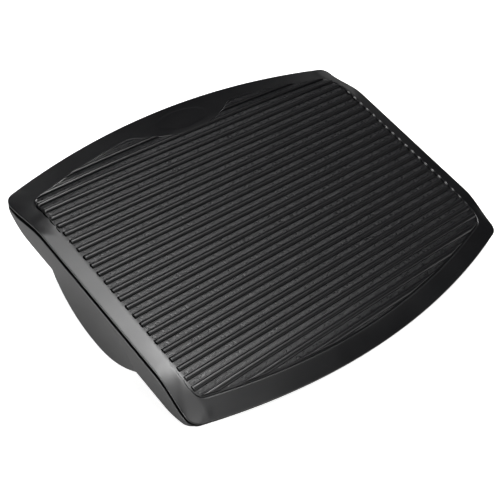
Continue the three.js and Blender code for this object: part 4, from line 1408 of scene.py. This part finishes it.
makeFrame(stand)
for sideName, sideSign in sides:
    makeBracket(bracket, sideName, sideSign)
    makeUpright(upright, sideName, sideSign)
    for row in ends:
        makeFoot(foot, "foot_" + row + "_" + sideName)
        makeStopPad(stopPad, "stop_pad_" + row + "_" + sideName, row == "back")
print("stand made")

# a plain pale floor
floorValues = {
    "half": 6000.0,
    "colour": "#f4f4f3",
    "roughness": 0.9,
    "glow": 0.8,  # lit from below like a light table
}


def seenOnly(tree, strength):
    # a glow that shows to the eye and lights nothing
    toEye = addNode(tree, "ShaderNodeLightPath").outputs["Is Camera Ray"]
    return addNode(tree, "ShaderNodeMath", {"operation": "MULTIPLY", 1: strength}, {0: toEye}).outputs[0]


def makeFloor(v):
    material, tree, _ = newMaterial("paleFloor")  # matt white board
    white = {"Base Color": hexColour(v["colour"]), "Roughness": v["roughness"],
             "Emission Color": (1, 1, 1, 1)}
    finishMaterial(tree, white, {"Emission Strength": seenOnly(tree, v["glow"])})
    h = v["half"] * mm
    corners = np.array([[-h, -h, 0], [h, -h, 0], [h, h, 0], [-h, h, 0]])
    mesh = meshFrom("floor", corners, np.array([[0, 1, 2, 3]]))
    mesh.materials.append(material)
    floor = bpy.data.objects.new("floor", mesh)
    bpy.context.scene.collection.objects.link(floor)


makeFloor(floorValues)

# soft studio light: square sheets at one distance, each with its azimuth from +X towards +Y, its
# elevation, half the angle that it fills, and its power
studio = {"distance": 3000.0, "aimHeight": 60.0, "backdrop": 1.0}
sheets = {
    "overhead": {"azimuth": 0, "elevation": 85, "halfAngle": 9, "watts": 19.4},
    "rightTop": {"azimuth": -50, "elevation": 72, "halfAngle": 6, "watts": 28.0},
    "rightSide": {"azimuth": -20, "elevation": 72, "halfAngle": 6, "watts": 13.5},
    "rightLow": {"azimuth": -60, "elevation": 60, "halfAngle": 6, "watts": 9.0},
    "frontTop": {"azimuth": 250, "elevation": 62, "halfAngle": 14, "watts": 9.6},
    "front": {"azimuth": 270, "elevation": 42, "halfAngle": 14, "watts": 8.5},
    "frontLow": {"azimuth": 270, "elevation": 28, "halfAngle": 9, "watts": 15.6},
    "frontLeft": {"azimuth": 210, "elevation": 28, "halfAngle": 9, "watts": 3.0},
    "left": {"azimuth": 170, "elevation": 8, "halfAngle": 11, "watts": 82.0},
    "back": {"azimuth": 80, "elevation": 22, "halfAngle": 7, "watts": 25.7},
    "backRight": {"azimuth": 25, "elevation": 20, "halfAngle": 9, "watts": 2.0},
}


def makeLight(name, v):
    data = bpy.data.lights.new(name, "AREA")
    data.size = 2 * studio["distance"] * math.tan(math.radians(v["halfAngle"])) * mm
    data.energy = v["watts"]
    light = bpy.data.objects.new(name, data)
    azimuth, elevation = math.radians(v["azimuth"]), math.radians(v["elevation"])
    level = studio["distance"] * math.cos(elevation)
    height = studio["distance"] * math.sin(elevation) + studio["aimHeight"]
    light.location = [level * math.cos(azimuth) * mm, level * math.sin(azimuth) * mm, height * mm]
    light.rotation_euler = (math.pi / 2 - elevation, 0, azimuth + math.pi / 2)
    light.visible_camera = False
    bpy.context.scene.collection.objects.link(light)


def makeWorld(v):
    # white behind the floor's edge for the eye, and no light of its own on the footrest
    world = bpy.data.worlds.new("studio")
    world.use_nodes = True
    tree = world.node_tree
    background = tree.nodes["Background"].inputs
    background["Color"].default_value = (1, 1, 1, 1)
    tree.links.new(seenOnly(tree, v["backdrop"]), background["Strength"])
    bpy.context.scene.world = world


for sheetName, sheetValues in sheets.items():
    makeLight(sheetName, sheetValues)
makeWorld(studio)
bpy.context.scene.view_settings.view_transform = "Standard"
print("floor and lights made")
